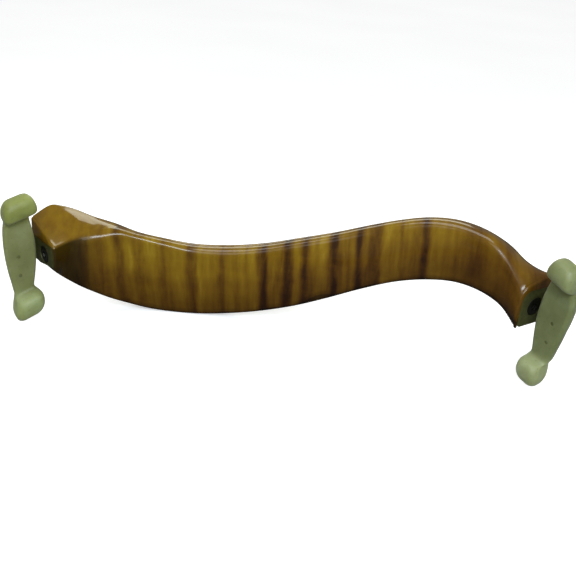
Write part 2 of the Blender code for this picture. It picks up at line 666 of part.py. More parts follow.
def build_boot(side, mat):
    frame = claw_frame(side)
    body = loft([boot_ring(row, side) for row in BOOT])
    boot = add_object("claw_boot_" + side, placed(body, frame), mat)
    cut(boot, placed(core_solid(GAP, side), frame))
    head_pocket = prism(circle(HEAD_D / 2 + HEAD_POCKET_GAP, 20),
                        CORE_BACK + CORE_T - HEAD_POCKET_LAP, HEAD[1] + GAP, "front")
    cut(boot, at_claw_post(head_pocket, side))
    # seat for the thrust washer, open towards the bar
    mouth = tongue(0.0, THRUST_D / 2 + MOUTH_GAP, MOUTH_INNER, MOUTH_STEP)
    cut(boot, at_claw_post(prism(mouth, -PAD_T - 1.0, CORE_BACK + MOUTH_LAP, "front"),
                           side))
    dimple = prism(circle(DIMPLE_R, 14), -DIMPLE_DEPTH, 1.0, "front")
    for out, up in DIMPLES:
        cut(boot, placed(dimple, frame, (out, 0, up)))
    return boot


def core_widths(up):
    """Inner and outer half width of the core at a height."""
    heights = [row[0] for row in BOOT]
    inner = float(np.interp(up, heights, [row[1] for row in BOOT]))
    outer = float(np.interp(up, heights, [row[2] for row in BOOT]))
    limit = CORE_EAR_HALF if abs(up) > CORE_EAR_UP else CORE_PLATE_HALF
    return (min(inner - CORE_INNER_WALL, limit),
            min(outer - CORE_OUTER_WALL, limit - CORE_OUTER_LESS))


def core_solid(grow, side):
    """Bent strip (ear, plate, ear) along CORE_PATH, enlarged all round by grow."""
    path = [Vector(point) for point in CORE_PATH]
    path[0] += (path[0] - path[1]).normalized() * grow
    path[-1] += (path[-1] - path[-2]).normalized() * grow
    sections = []
    for i, point in enumerate(path):
        before = (point - path[i - 1] if i else path[1] - point).normalized()
        after = (path[i + 1] - point).normalized() if i + 1 < len(path) else before
        along = (before + after).normalized()
        # offset to the back of the strip, mitred at the bends
        offset = Vector((along.y, -along.x)) * (
            (CORE_T / 2 + grow) / max(along.dot(before), MITRE_LIMIT))
        back_up, back = point + offset
        front_up, front = point - offset
        inner, outer = core_widths((back_up + front_up) / 2)
        inner += grow
        outer += grow
        sections.append(sheared([(-inner, back, back_up), (outer, back, back_up),
                                 (outer, front, front_up), (-inner, front, front_up)],
                                side))
    return loft(sections)


def build_core(side, mat):
    core = add_object("claw_core_" + side,
                      placed(core_solid(0.0, side), claw_frame(side)), mat)
    hole = prism(circle(JOURNAL_D / 2 + GAP, 20), CORE_BACK - 1, CORE_BACK + CORE_T + 1,
                 "front")
    cut(core, at_claw_post(hole, side))
    return core


def main():
    clear_scene()
    wood = material("maple_varnished", color=(0.36, 0.19, 0.045), metallic=0.0,
                    roughness=0.22, coat_weight=0.8, coat_roughness=0.08)
    rubber = material("gum_rubber", color=(0.47, 0.50, 0.26), metallic=0.0,
                      roughness=0.5)
    bronzed = material("bronzed_steel", color=(0.09, 0.09, 0.05), metallic=0.9,
                       roughness=0.38)
    black = material("black_oxide_screw", color=(0.03, 0.03, 0.03), metallic=0.9,
                     roughness=0.35)
    steel = material("plated_steel", color=(0.55, 0.55, 0.53), metallic=1.0,
                     roughness=0.28)
    brass = material("brass", color=(0.62, 0.45, 0.18), metallic=1.0, roughness=0.3)
    spring = material("spring_steel_core", color=(0.40, 0.41, 0.42), metallic=1.0,
                      roughness=0.4)

    build_bar(wood)
    for side in SIDES:
        build_insert(side, brass)
        build_bracket(side, bronzed)
        build_screw(side, black)
        on_post = [
            build_post(side, steel),
            build_washer("lock_washer_", side, POST_D / 2 + GAP, LOCK_WASHER_D / 2,
                         LOCK_WASHER, steel),
            build_nut(side, brass),
            build_washer("thrust_washer_", side, JOURNAL_D / 2 + GAP, THRUST_D / 2,
                         THRUST, steel),
            build_core(side, spring),
            build_boot(side, rubber),
        ]
        for obj in on_post:
            set_pivot(obj, side)


main()
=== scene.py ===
# Violin shoulder rest: a carved maple bar with a steel bracket let into each end,
# and on each bracket a threaded post with a knurled nut, washers and a rubber claw.
# The bar runs along X; front is -Y, towards the camera, and +Z is up.
# Constants are in millimetres and degrees; the scene is in metres.
import bpy
import bmesh
import math
import numpy as np
from mathutils import Matrix, Vector


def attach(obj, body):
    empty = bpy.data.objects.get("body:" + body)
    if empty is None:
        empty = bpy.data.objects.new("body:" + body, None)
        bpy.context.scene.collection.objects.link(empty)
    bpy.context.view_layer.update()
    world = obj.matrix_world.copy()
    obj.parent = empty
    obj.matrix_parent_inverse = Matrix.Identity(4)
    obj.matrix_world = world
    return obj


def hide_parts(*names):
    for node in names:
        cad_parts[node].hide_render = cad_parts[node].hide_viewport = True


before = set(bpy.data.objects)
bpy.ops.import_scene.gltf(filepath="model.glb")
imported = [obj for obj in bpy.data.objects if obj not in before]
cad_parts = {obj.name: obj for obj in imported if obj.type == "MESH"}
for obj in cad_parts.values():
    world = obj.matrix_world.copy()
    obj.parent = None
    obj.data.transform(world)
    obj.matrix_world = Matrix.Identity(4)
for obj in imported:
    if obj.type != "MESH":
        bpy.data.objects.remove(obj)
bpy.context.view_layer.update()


MM = 0.001
GAP = 0.3                  # clearance between fitted parts

# ---- placing of the two ends -------------------------------------------------
# Each end, L or R, has its own frame with three directions:
#   out   square to the end face, away from the bar
#   fore  level along the end face, towards the front and the middle
#   up    +Z
SHIFT = Vector((0.0, -16.0, 32.61))   # bar's own frame -> world frame
END_TURN = 50.0            # plan angle between out and the X axis
END_X = 96.65              # end-face reference point, distance from centre
END_Y = 8.5
END_LIP = 0.5              # wood stands this far proud of the bracket face
POCKET_DEPTH = 3.3         # seat cut for the bracket leaf

# ---- bracket -----------------------------------------------------------------
LEAF_T = 3.0
# leaf outline: (fore, up, corner radius)
LEAF = {
    "L": ((8.4, 4.3, 1.4), (-11.8, 4.3, 1.4), (-11.8, -6.4, 1.4),
          (-5.0, -6.9, 2.0), (8.4, -4.6, 1.6)),
    "R": ((5.4, 8.4, 4.4), (-11.8, 8.4, 2.0), (-11.8, -6.4, 2.0), (5.4, -6.4, 2.4)),
}
ARM_BACK, ARM_FRONT = -11.75, -8.8
ARM_HALF = 3.5             # half height, and radius of the outer tip
ARM_HOLE_D = 4.6
FILLET_HALF = 3.4          # half height of the fillet between leaf and arm
POST_OUT = 7.6             # post axis, distance out from the bracket face

# ---- bracket screw -----------------------------------------------------------
SCREW_AT = {"L": (-0.4, -1.6), "R": (-2.6, 0.9)}   # (fore, up)
SCREW_D = 3.5
SCREW_TIP = -8.6
SCREW_TIP_CHAMFER = 0.5
SCREW_TOP = -GAP / 3       # head top, just below the bracket face
SCREW_HEAD_D = 7.0
SCREW_HEAD_H = 1.7
SCREW_HEAD_ROUND = 0.4
SOCKET_FLATS = 2.7         # hexagon socket, across flats
SOCKET_DEPTH = 1.25
INSERT_D = 5.6
INSERT_INNER_END = -9.2

# ---- post and its hardware; spans are (back, front) along the post -----------
POST_FORE = 1.0            # origin of the post frame, along fore
POST_D = 4.0
POST_TAIL = -16.0
PITCH = 0.7
THREAD_DEPTH = 0.3
COLLAR = (-6.4, -5.4)
COLLAR_D = 6.2
JOURNAL_D = 3.0
HEAD = (-2.5, -1.75)
HEAD_D = 4.8
THRUST = (-5.1, -4.5)
THRUST_D = 6.4
NUT = (-8.8, -7.2)
NUT_D = 8.0
LOCK_WASHER = (-9.5, -9.1)
LOCK_WASHER_D = 7.4
WASHER_CHAMFER = 0.08

# ---- claw, measured from its own centre on the pad face ----------------------
CLAW_OUT = {"L": 10.3, "R": 10.7}
CLAW_LEAN = {"L": -0.5, "R": 3.5}   # outward lean of the claw top
POST_IN_CLAW = {side: POST_OUT - CLAW_OUT[side] for side in CLAW_OUT}
PAD_T = 5.7
TOP_SLANT = 13.0
LOW_SLANT = {"L": 15.0, "R": 6.0}
SLANT_START = 9.0          # height above and below centre where the slants begin
SLANT_RUN = 8.0            # height over which they ease in
EAR_IN = {"L": 0.7, "R": -1.4}      # extra inward reach of the top ears
EAR_LOW = {"L": 0.0, "R": -1.1}     # extra reach of the lower ears, both ways
PLATE_OUT = {"L": 0.0, "R": 0.6}    # extra width at the outer flank of the plates
STRIP_BACK = -4.2          # steel strip inside the rubber
STRIP_T = 1.4
STRIP_TRIM = 2.2
STRIP_MID = STRIP_BACK + STRIP_T / 2
# centre line of the strip, from the lower ear to the top ear: (up, fore)
STRIP_PATH = [
    (-21.5, 3.2), (-21.5, 0.5), (-20.8, -0.7), (-19.2, -1.8), (-16.6, -2.8),
    (-13.5, STRIP_MID), (-6.0, STRIP_MID), (0.0, STRIP_MID), (6.0, STRIP_MID),
    (13.5, STRIP_MID), (17.0, -3.0), (19.6, -2.2), (21.0, -1.1), (21.7, 0.3), (21.7, 2.2)]
DIMPLES = ((0.9, 0.6), (0.9, -7.6))   # (out, up) on the pad face

# Claw sections, bottom to top: up, inner half width, outer half width, pad-side
# fore, back-side fore, corner radius, how far the outer flank leans in at the back
BOOT = [
    (-25.4, 3.0, 3.2, 3.6, -0.1, 1.6, 0.3),
    (-24.9, 4.8, 4.6, 4.8, -1.2, 2.3, 0.6),
    (-23.6, 6.2, 5.6, 5.6, -2.4, 2.8, 1.0),
    (-21.6, 6.9, 6.0, 6.0, -3.6, 3.0, 1.3),
    (-19.6, 6.9, 5.7, 5.9, -4.4, 3.0, 1.5),
    (-17.9, 6.6, 5.1, 5.3, -4.9, 2.8, 1.6),
    (-16.8, 6.1, 4.7, 4.1, -5.2, 2.7, 1.7),
    (-16.2, 5.6, 4.4, 2.2, -5.4, 2.2, 1.8),
    (-15.6, 5.2, 4.3, 0.8, -5.5, 1.9, 2.0),
    (-14.4, 5.0, 4.4, 0.1, -5.6, 1.7, 2.0),
    (-11.5, 5.4, 4.9, 0.0, -5.7, 1.6, 2.1),
    (-7.0, 6.2, 5.7, 0.0, -5.7, 1.6, 2.2),
    (-2.0, 6.9, 6.3, 0.0, -5.7, 1.6, 2.2),
    (3.0, 7.1, 6.6, 0.0, -5.7, 1.6, 2.2),
    (8.0, 6.8, 6.6, 0.0, -5.7, 1.6, 2.2),
    (12.0, 6.1, 6.3, 0.0, -5.7, 1.6, 2.2),
    (14.8, 5.5, 5.8, 0.1, -5.7, 1.7, 2.1),
    (16.0, 5.6, 5.6, 0.6, -5.6, 1.9, 2.0),
    (16.7, 6.1, 5.8, 1.8, -5.5, 2.2, 1.9),
    (17.2, 6.6, 6.0, 3.4, -5.4, 2.4, 1.8),
    (18.2, 6.9, 6.3, 4.6, -5.2, 2.5, 1.7),
    (20.0, 6.7, 6.5, 5.2, -4.8, 2.6, 1.6),
    (22.2, 6.1, 6.4, 5.2, -4.0, 2.6, 1.5),
    (24.0, 5.3, 5.8, 4.6, -2.9, 2.5, 1.3),
    (25.2, 4.3, 4.8, 3.6, -1.8, 2.0, 0.9),
    (25.7, 2.9, 3.1, 2.4, -0.8, 1.4, 0.5),
]
BOOT_STEPS = 4             # rings per gap between sections
BOOT_CORNER_STEPS = 9

# ---- bar ---------------------------------------------------------------------
# Stations from left to right, in the bar's own frame:
# front-top x y z | front-bottom x y z | plan angle of the section |
# thickness at the top, rise of the back-top edge | thickness at the bottom,
# rise of the back-bottom edge | radii: front-top, front-bottom, back edges
BAR = [
    (-86.0, 10.6, 4.9, -86.9, 9.8, -13.2, -49, 16.8, 11.6, 14.4, 0.8, 1.4, 1.4, 2.6),
    (-83.6, 13.0, 5.0, -83.5, 13.2, -17.3, -46, 16.0, 10.8, 13.6, 1.0, 1.4, 1.5, 2.8),
    (-80.0, 16.3, 5.2, -79.0, 17.2, -21.6, -43, 14.9, 8.2, 12.6, 1.4, 1.5, 1.6, 2.8),
    (-76.0, 19.2, 5.7, -74.0, 20.8, -25.4, -38, 13.6, 4.4, 11.4, 1.6, 1.5, 1.6, 3.0),
    (-69.5, 23.0, 6.6, -66.5, 24.8, -29.3, -30, 12.2, -0.6, 10.6, 1.6, 1.6, 1.8, 3.0),
    (-62.0, 26.2, 4.4, -59.0, 26.9, -31.6, -20, 10.8, -3.0, 10.0, 1.6, 1.8, 1.8, 3.0),
    (-53.0, 28.2, 2.2, -50.0, 28.4, -32.8, -12, 9.8, -2.8, 9.4, 1.6, 2.0, 2.0, 3.0),
    (-40.0, 29.8, -0.1, -38.0, 29.2, -32.7, -5, 9.2, -1.8, 9.0, 1.4, 2.2, 2.2, 3.0),
    (-25.0, 30.7, 0.4, -24.0, 29.2, -30.7, 0, 9.0, -1.2, 9.0, 1.2, 2.4, 2.4, 3.0),
    (-10.0, 31.2, 3.0, -10.0, 28.7, -27.4, 0, 9.0, -1.2, 9.0, 1.2, 2.6, 2.6, 3.0),
    (5.0, 31.4, 7.6, 5.0, 27.8, -22.4, 0, 9.0, -1.8, 9.2, 1.2, 2.8, 2.8, 3.0),
    (20.0, 31.3, 12.6, 19.0, 26.8, -16.2, 0, 9.0, -2.6, 9.4, 1.0, 3.0, 3.0, 3.2),
    (34.0, 30.8, 18.0, 33.0, 25.7, -9.4, 2, 9.2, -3.2, 9.8, 1.0, 3.2, 3.2, 3.4),
    (46.0, 29.2, 22.6, 46.0, 24.4, -3.8, 6, 9.6, -3.6, 10.2, 1.0, 3.6, 3.4, 3.6),
    (56.5, 27.2, 25.6, 57.5, 22.8, -0.5, 12, 10.4, -3.8, 11.0, 1.0, 4.0, 3.6, 3.8),
    (65.5, 24.4, 26.6, 67.5, 20.4, 1.2, 22, 11.6, -3.9, 12.0, 1.0, 4.6, 3.8, 4.0),
    (73.2, 20.8, 26.0, 75.2, 17.8, 1.0, 32, 13.0, -4.6, 13.0, 0.8, 5.4, 3.6, 4.0),
    (79.8, 16.8, 24.4, 81.4, 14.2, 0.0, 41, 14.4, -6.6, 14.0, 0.6, 5.6, 3.2, 3.6),
    (85.2, 12.6, 19.8, 86.4, 10.9, -2.0, 47, 15.2, -6.4, 14.8, 0.2, 6.4, 2.6, 3.2),
]
# end sections in the plane of each end face: (fore, up) of front-top, back-top,
# back-bottom, front-bottom, then the front-top, front-bottom and back radii
END_RING = {
    "L": ((10.4, 5.3), (-9.4, 12.6), (-8.6, -7.6), (9.4, -5.4), 1.2, 1.2, 1.6),
    "R": ((7.0, 10.4), (-9.8, 13.2), (-8.8, -7.0), (6.8, -6.8), 6.4, 2.6, 1.8),
}
BAR_STEPS = 8              # rings added between neighbouring stations
CORNER_STEPS = 10
FLANK_STEPS = 9            # steps along each side of a section
BROAD_BULGE = 0.7          # how far the front and back faces bulge
NARROW_BULGE = 0.25        # the same for the top and underside
END_ROUND = 0.8            # round-over of the end edges
# the front-top radius is enlarged between the ends, more on the left
SOFTEN_LEFT, SOFTEN_RIGHT = 2.6, 1.9
SOFTEN_SPLIT_X = -20.0
FRONT_RADIUS_MAX = 6.4
FRONT_TOP_RADIUS = 12      # its column in a section row
CREASE_HEIGHT = 0.80       # facets on top of the left end meet in a raised crease
CREASE_REACH = 1.25        # its reach either side, in stations
CREASE_FRONT = 2.90        # station it crosses at the front edge
CREASE_DRIFT = 0.85        # stations it moves left on its way to the back edge


# ================================================================ mesh helpers
def clamp(value):
    return max(0.0, min(1.0, value))


def smooth_shade(mesh, angle):
    mesh.shade_smooth()
    mesh.set_sharp_from_angle(angle=math.radians(angle))


def add_object(name, solid, material=None, angle=35.0):
    """Make an object from (points in mm, faces)."""
    points, faces = solid
    mesh = bpy.data.meshes.new(name)
    mesh.from_pydata([tuple(value * MM for value in p) for p in points], [], faces)
    bm = bmesh.new()
    bm.from_mesh(mesh)
    bmesh.ops.recalc_face_normals(bm, faces=bm.faces)
    bm.to_mesh(mesh)
    bm.free()
    smooth_shade(mesh, angle)
    obj = bpy.data.objects.new(name, mesh)
    bpy.context.scene.collection.objects.link(obj)
    if material:
        mesh.materials.append(material)
    return obj


def evaluated_mesh(obj):
    """New mesh with the object's modifiers applied."""
    depsgraph = bpy.context.evaluated_depsgraph_get()
    depsgraph.update()
    return bpy.data.meshes.new_from_object(obj.evaluated_get(depsgraph))


def boolean(target, name, solid, operation="DIFFERENCE"):
    """Cut a solid out of the target, or join it on, and discard the tool."""
    tool = add_object(name, solid)
    bpy.context.view_layer.objects.active = target
    modifier = target.modifiers.new(operation.lower(), "BOOLEAN")
    modifier.operation = operation
    modifier.solver = "EXACT"
    modifier.object = tool
    mesh = evaluated_mesh(target)
    old = target.data
    target.modifiers.clear()
    target.data = mesh
    mesh.name = target.name
    if not mesh.materials:
        for material in old.materials:
            mesh.materials.append(material)
    bpy.data.meshes.remove(old)
    tool_mesh = tool.data
    bpy.data.objects.remove(tool, do_unlink=True)
    bpy.data.meshes.remove(tool_mesh)
    smooth_shade(mesh, 35.0)


def bevel_edges(obj, width, angle):
    """Round every edge sharper than the angle."""
    bevel = obj.modifiers.new("bevel", "BEVEL")
    bevel.width = width * MM
    bevel.segments = 3
    bevel.limit_method = "ANGLE"
    bevel.angle_limit = math.radians(angle)
    mesh = evaluated_mesh(obj)
    obj.modifiers.clear()
    # join points that a cut left almost touching
    bm = bmesh.new()
    bm.from_mesh(mesh)
    bmesh.ops.remove_doubles(bm, verts=bm.verts, dist=0.0001 * MM)
    bm.to_mesh(mesh)
    bm.free()
    obj.data = mesh
    mesh.name = obj.name
    smooth_shade(mesh, 50.0)


def register(obj, body, node):
    """Ride on the body and stand for the plain solid."""
    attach(obj, body)
    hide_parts(node)


# ================================================================== end frames
def end_frame(side):
    """Origin on the bracket face, then the out, fore and up directions."""
    sign = -1.0 if side == "L" else 1.0
    turn = math.radians(END_TURN)
    out = Vector((sign * math.cos(turn), -math.sin(turn), 0.0))
    fore = Vector((-sign * math.sin(turn), -math.cos(turn), 0.0))
    origin = Vector((sign * END_X, END_Y, 0.0)) + SHIFT
    return origin, out, fore, Vector((0.0, 0.0, 1.0))


def post_frame(side):
    origin, out, fore, up = end_frame(side)
    return origin + out * POST_OUT + fore * POST_FORE, out, fore, up


def claw_frame(side):
    """The post frame leant about the post axis and moved to the claw centre."""
    origin, out, fore, up = post_frame(side)
    lean = math.radians(CLAW_LEAN[side])
    lean_out = out * math.cos(lean) - up * math.sin(lean)
    lean_up = up * math.cos(lean) + out * math.sin(lean)
    return origin - lean_out * POST_IN_CLAW[side], lean_out, fore, lean_up


def place(solid, where, at=(0.0, 0.0, 0.0)):
    """Move a solid given in (out, fore, up) into the world."""
    points, faces = solid
    origin, out, fore, up = where
    base = origin + out * at[0] + fore * at[1] + up * at[2]
    return [tuple(base + out * p[0] + fore * p[1] + up * p[2]) for p in points], faces


# ===================================== solids and outlines, in (out, fore, up)
def loft(rings, closed=False):
    """Skin a row of equal rings; ends capped unless the row closes on itself."""
    count, size = len(rings), len(rings[0])
    faces = []
    for i in range(count if closed else count - 1):
        here, there = i * size, (i + 1) % count * size
        for j in range(size):
            k = (j + 1) % size
            faces.append((here + j, here + k, there + k, there + j))
    if not closed:
        faces.append(tuple(range(size)))
        faces.append(tuple(reversed(range((count - 1) * size, count * size))))
    return [tuple(p) for ring in rings for p in ring], faces


def around(radius, angle, fore):
    """Point at a radius and angle about the fore axis."""
    return radius * math.cos(angle), fore, radius * math.sin(angle)


def lathe(profile, segments, capped=False):
    """Turn (radius, fore) points about fore: a closed ring, or disc-ended if capped."""
    size = len(profile)
    points, faces = loft([[around(radius, 2 * math.pi * i / segments, fore)
                           for radius, fore in profile] for i in range(segments)],
                         closed=True)
    if capped:
        del faces[size - 1::size]
        faces.append(tuple(i * size for i in range(segments)))
        faces.append(tuple(i * size + size - 1 for i in range(segments))[::-1])
    return points, faces


def prism(outline, start, end, axis):
    """Extrude an outline along an axis; it gives the other two, in frame order."""
    slot = ("out", "fore", "up").index(axis)
    size = len(outline)
    points = [p[:slot] + (height,) + p[slot:] for height in (start, end) for p in outline]
    faces = [tuple(range(size)), tuple(range(2 * size - 1, size - 1, -1))]
    for i in range(size):
        j = (i + 1) % size
        faces.append((i, j, size + j, size + i))
    return points, faces


def rounded_poly(corners, steps):
    """Fillet every corner of a convex outline; corners are (a, b, radius)."""
    points = []
    for i, (a, b, radius) in enumerate(corners):
        tip = Vector((a, b))
        before = (Vector(corners[i - 1][:2]) - tip).normalized()
        after = (Vector(corners[(i + 1) % len(corners)][:2]) - tip).normalized()
        half = before.angle(after) / 2
        reach = radius / math.tan(half)
        centre = tip + (before + after).normalized() * (radius / math.sin(half))
        start = (tip + before * reach - centre).normalized()
        end = (tip + after * reach - centre).normalized()
        for j in range(steps + 1):
            spoke = start.slerp(end, j / steps) * radius
            points.append((centre.x + spoke.x, centre.y + spoke.y))
    return points


def disc(radius, segments):
    return [(radius * math.cos(2 * math.pi * i / segments),
             radius * math.sin(2 * math.pi * i / segments)) for i in range(segments)]


def tongue(radius, count, centre, root):
    """(out, up) outline: a half disc of count points, run square back to the root."""
    tip = []
    for i in range(count):
        angle = math.radians(-90 + 180 / (count - 1) * i)
        tip.append((centre + radius * math.cos(angle), radius * math.sin(angle)))
    return tip + [(root, radius), (root, -radius)]


# ================================================================ shader trees
class Shader:
    """Short-hand for building a material around one Principled BSDF."""

    def __init__(self, name):
        self.material = bpy.data.materials.new(name)
        self.material.use_nodes = True
        self.tree = self.material.node_tree
        self.tree.nodes.clear()
        output = self.node("ShaderNodeOutputMaterial")
        self.bsdf = self.node("ShaderNodeBsdfPrincipled")
        self.feed(output.inputs[0], self.bsdf.outputs[0])

    def node(self, kind, **props):
        node = self.tree.nodes.new(kind)
        for key, value in props.items():
            setattr(node, key, value)
        return node

    def feed(self, socket, value):
        """Link a socket, or set a plain value."""
        if isinstance(value, bpy.types.NodeSocket):
            self.tree.links.new(value, socket)
        else:
            socket.default_value = value

    def set(self, name, value):
        self.feed(self.bsdf.inputs[name], value)

    def math(self, operation, a, b=0.0, clamp=False):
        node = self.node("ShaderNodeMath", operation=operation, use_clamp=clamp)
        for socket, value in zip(node.inputs, (a, b, 0.0)):
            self.feed(socket, value)
        return node.outputs[0]

    def plus(self, a, b):
        return self.math("ADD", a, b)

    def minus(self, a, b):
        return self.math("SUBTRACT", a, b)

    def times(self, a, b):
        return self.math("MULTIPLY", a, b)

    def centred(self, value, gain, middle=0.5):
        return self.times(self.minus(value, middle), gain)

    def scaled(self, vector, factors):
        node = self.node("ShaderNodeVectorMath", operation="MULTIPLY")
        self.feed(node.inputs[0], vector)
        self.feed(node.inputs[1], factors)
        return node.outputs[0]

    def position(self):
        """Object position in millimetres."""
        coords = self.node("ShaderNodeTexCoord")
        return self.scaled(coords.outputs["Object"], (1000, 1000, 1000))

    def split(self, vector):
        node = self.node("ShaderNodeSeparateXYZ")
        self.feed(node.inputs[0], vector)
        return node.outputs[0], node.outputs[1], node.outputs[2]

    def combine(self, x, y, z):
        node = self.node("ShaderNodeCombineXYZ")
        for socket, value in zip(node.inputs, (x, y, z)):
            self.feed(socket, value)
        return node.outputs[0]

    def noise(self, vector, scale, detail=2.0, roughness=0.5, distortion=0.0):
        node = self.node("ShaderNodeTexNoise")
        self.feed(node.inputs["Vector"], vector)
        node.inputs["Scale"].default_value = scale
        node.inputs["Detail"].default_value = detail
        node.inputs["Roughness"].default_value = roughness
        node.inputs["Distortion"].default_value = distortion
        return node.outputs[0]

    def streaks(self, axes, per_mm, **settings):
        """Noise with its own frequency on each axis; 0 leaves an axis out."""
        stretched = [self.times(axis, rate) if rate else 0.0
                     for axis, rate in zip(axes, per_mm)]
        return self.noise(self.combine(*stretched), scale=1.0, **settings)

    def ramp(self, value, stops, kind="EASE"):
        """Colour ramp from (position, colour or grey level) stops."""
        node = self.node("ShaderNodeValToRGB")
        node.color_ramp.interpolation = kind
        elements = node.color_ramp.elements
        while len(elements) > 1:
            elements.remove(elements[-1])
        for i, (position, colour) in enumerate(stops):
            if not isinstance(colour, tuple):
                colour = (colour, colour, colour)
            element = elements.new(position) if i else elements[0]
            element.position = position
            element.color = (*colour, 1.0)
        self.feed(node.inputs[0], value)
        return node.outputs[0]

    def span(self, value, start, end, low=0.0, high=1.0, smooth=False):
        """Map start..end onto low..high."""
        node = self.node("ShaderNodeMapRange")
        node.interpolation_type = "SMOOTHSTEP" if smooth else "LINEAR"
        self.feed(node.inputs[0], value)
        for socket, limit in zip(node.inputs[1:5], (start, end, low, high)):
            socket.default_value = limit
        return node.outputs[0]

    def mix(self, factor, a, b, mode="MIX"):
        node = self.node("ShaderNodeMix", data_type="RGBA", blend_type=mode)
        self.feed(node.inputs[0], factor)
        for socket, colour in ((node.inputs[6], a), (node.inputs[7], b)):
            self.feed(socket, (*colour, 1) if isinstance(colour, tuple) else colour)
        return node.outputs[2]

    def tinted(self, colour, tint):
        return self.mix(1.0, colour, tint, "MULTIPLY")

    def bump(self, height, strength, distance):
        node = self.node("ShaderNodeBump")
        node.inputs["Strength"].default_value = strength
        node.inputs["Distance"].default_value = distance
        self.feed(node.inputs["Height"], height)
        return node.outputs[0]

    def edges(self, radius):
        """0 on flats, rising to 1 on sharp edges; radius in mm."""
        bevel = self.node("ShaderNodeBevel", samples=6)
        bevel.inputs["Radius"].default_value = radius * MM
        geometry = self.node("ShaderNodeNewGeometry")
        dot = self.node("ShaderNodeVectorMath", operation="DOT_PRODUCT")
        self.feed(dot.inputs[0], bevel.outputs[0])
        self.feed(dot.inputs[1], geometry.outputs["Normal"])
        return self.span(dot.outputs["Value"], start=0.995, end=0.88)


# =================================================================== materials
# the main dark flames, across the bar: (x in mm, half width in mm, strength)
FAINT, SOFT, STRONG = 0.22, 0.42, 0.82
FLAMES = [(-70, 4, SOFT), (-50, 4, FAINT), (-40, 3, SOFT), (-27, 4, FAINT), (-9, 4, STRONG),
          (1, 4, STRONG), (9, 4, STRONG), (21, 3, STRONG), (31, 3, STRONG), (38, 4, SOFT),
          (57, 3, STRONG), (66, 4, FAINT), (75, 5, SOFT)]
# height of the bar's lower front edge, where the painted shade is darkest: (x in mm, z in
# mm)
LOW_EDGE = [(-100, 24.0), (-90, 22.0), (-85, 16.5), (-80, 11.5), (-75, 8.0), (-70, 5.2),
            (-60, 2.0), (-50, 0.6), (-40, 0.6), (-20, 3.4), (0, 9.2), (20, 19.0),
            (40, 27.0), (50, 31.0), (60, 33.8), (70, 35.0), (80, 34.6), (100, 26.0)]
EDGE_Z_SCALE = 40.0        # brings the edge heights into the 0..1 range of a ramp
PAINTED_SHADE_HEIGHT = 27.0        # the painted shade runs this far up from the lower edge
# figure level, dark flame to pale wood -> colour
MAPLE_COLOURS = [
    (0.00, (0.020, 0.0070, 0.0010)), (0.20, (0.046, 0.0180, 0.0016)),
    (0.42, (0.122, 0.0600, 0.0026)), (0.66, (0.196, 0.1130, 0.0036)),
    (0.88, (0.248, 0.1570, 0.0065)), (1.00, (0.300, 0.2050, 0.0130))]
# height above the lower edge, as a share of the painted shade height -> painted shade tint
EDGE_PAINTED_SHADE = [
    (0.0, (0.13, 0.10, 0.13)), (0.035, (0.34, 0.27, 0.32)), (0.11, (0.50, 0.41, 0.48)),
    (0.45, (0.68, 0.59, 0.66)), (0.75, (0.95, 0.92, 0.95)), (1.0, (1.0, 1.0, 1.0))]
# cloudiness -> colour
RUBBER_COLOURS = [(0.30, (0.200, 0.212, 0.070)), (0.52, (0.244, 0.262, 0.095)),
                  (0.72, (0.298, 0.324, 0.140))]


def maple_figure(mat, x, y, z, grain):
    """Brightness of the wood figure: flames, curl, clouds, grain and pores, with painted
    light on the facet at the left end.
    """
    # every flame wanders a little over the height of the bar
    sway = mat.centred(mat.streaks((x, y, z), (0.05, 0.04, 0.06)), gain=2.6)
    fine = mat.centred(mat.streaks((x, y, z), (0.30, 0.0, 0.10)), gain=1.2)
    swayed = mat.plus(mat.plus(x, sway), fine)
    swayed = mat.plus(swayed, mat.centred(z, gain=0.05, middle=28.0))
    # softer bands between the main flames, from noise alone
    bands = mat.streaks((swayed, y, z), (0.20, 0.0, 0.012), roughness=0.6)
    flame = mat.span(bands, start=0.34, end=0.62, low=0.52, high=0.98)
    for middle, half, strength in FLAMES:
        away = mat.math("ABSOLUTE", mat.minus(swayed, float(middle)))
        flame = mat.times(flame, mat.span(away, start=0.0, end=float(half),
                                          low=1.0 - strength, smooth=True))
    # painted light: the facet on top of the left end, which faces the light, is evenly pale
    lit_facet = mat.times(mat.span(x, start=-78.0, end=-84.0, smooth=True),
                      mat.span(z, start=37.8, end=39.6, smooth=True))
    flame = mat.mix(lit_facet, flame, (0.80, 0.80, 0.80))
    # broken curl: short upright streaks
    curl = mat.streaks((x, y, z), (0.34, 0.15, 0.075), detail=3.0, roughness=0.55,
                       distortion=0.3)
    curl = mat.span(curl, start=0.34, end=0.66)
    cloud = mat.streaks((x, y, z), (0.06, 0.06, 0.10))
    pore = mat.streaks((x, y, z), (0.9, 2.2, 2.2), detail=3.0, roughness=0.6)
    flame_share, curl_share = 0.78, 0.20
    level = mat.plus(mat.times(flame, flame_share), mat.times(curl, curl_share))
    for layer, gain in ((cloud, 0.30), (grain, 0.12), (pore, 0.10)):
        level = mat.plus(level, mat.centred(layer, gain))
    return level


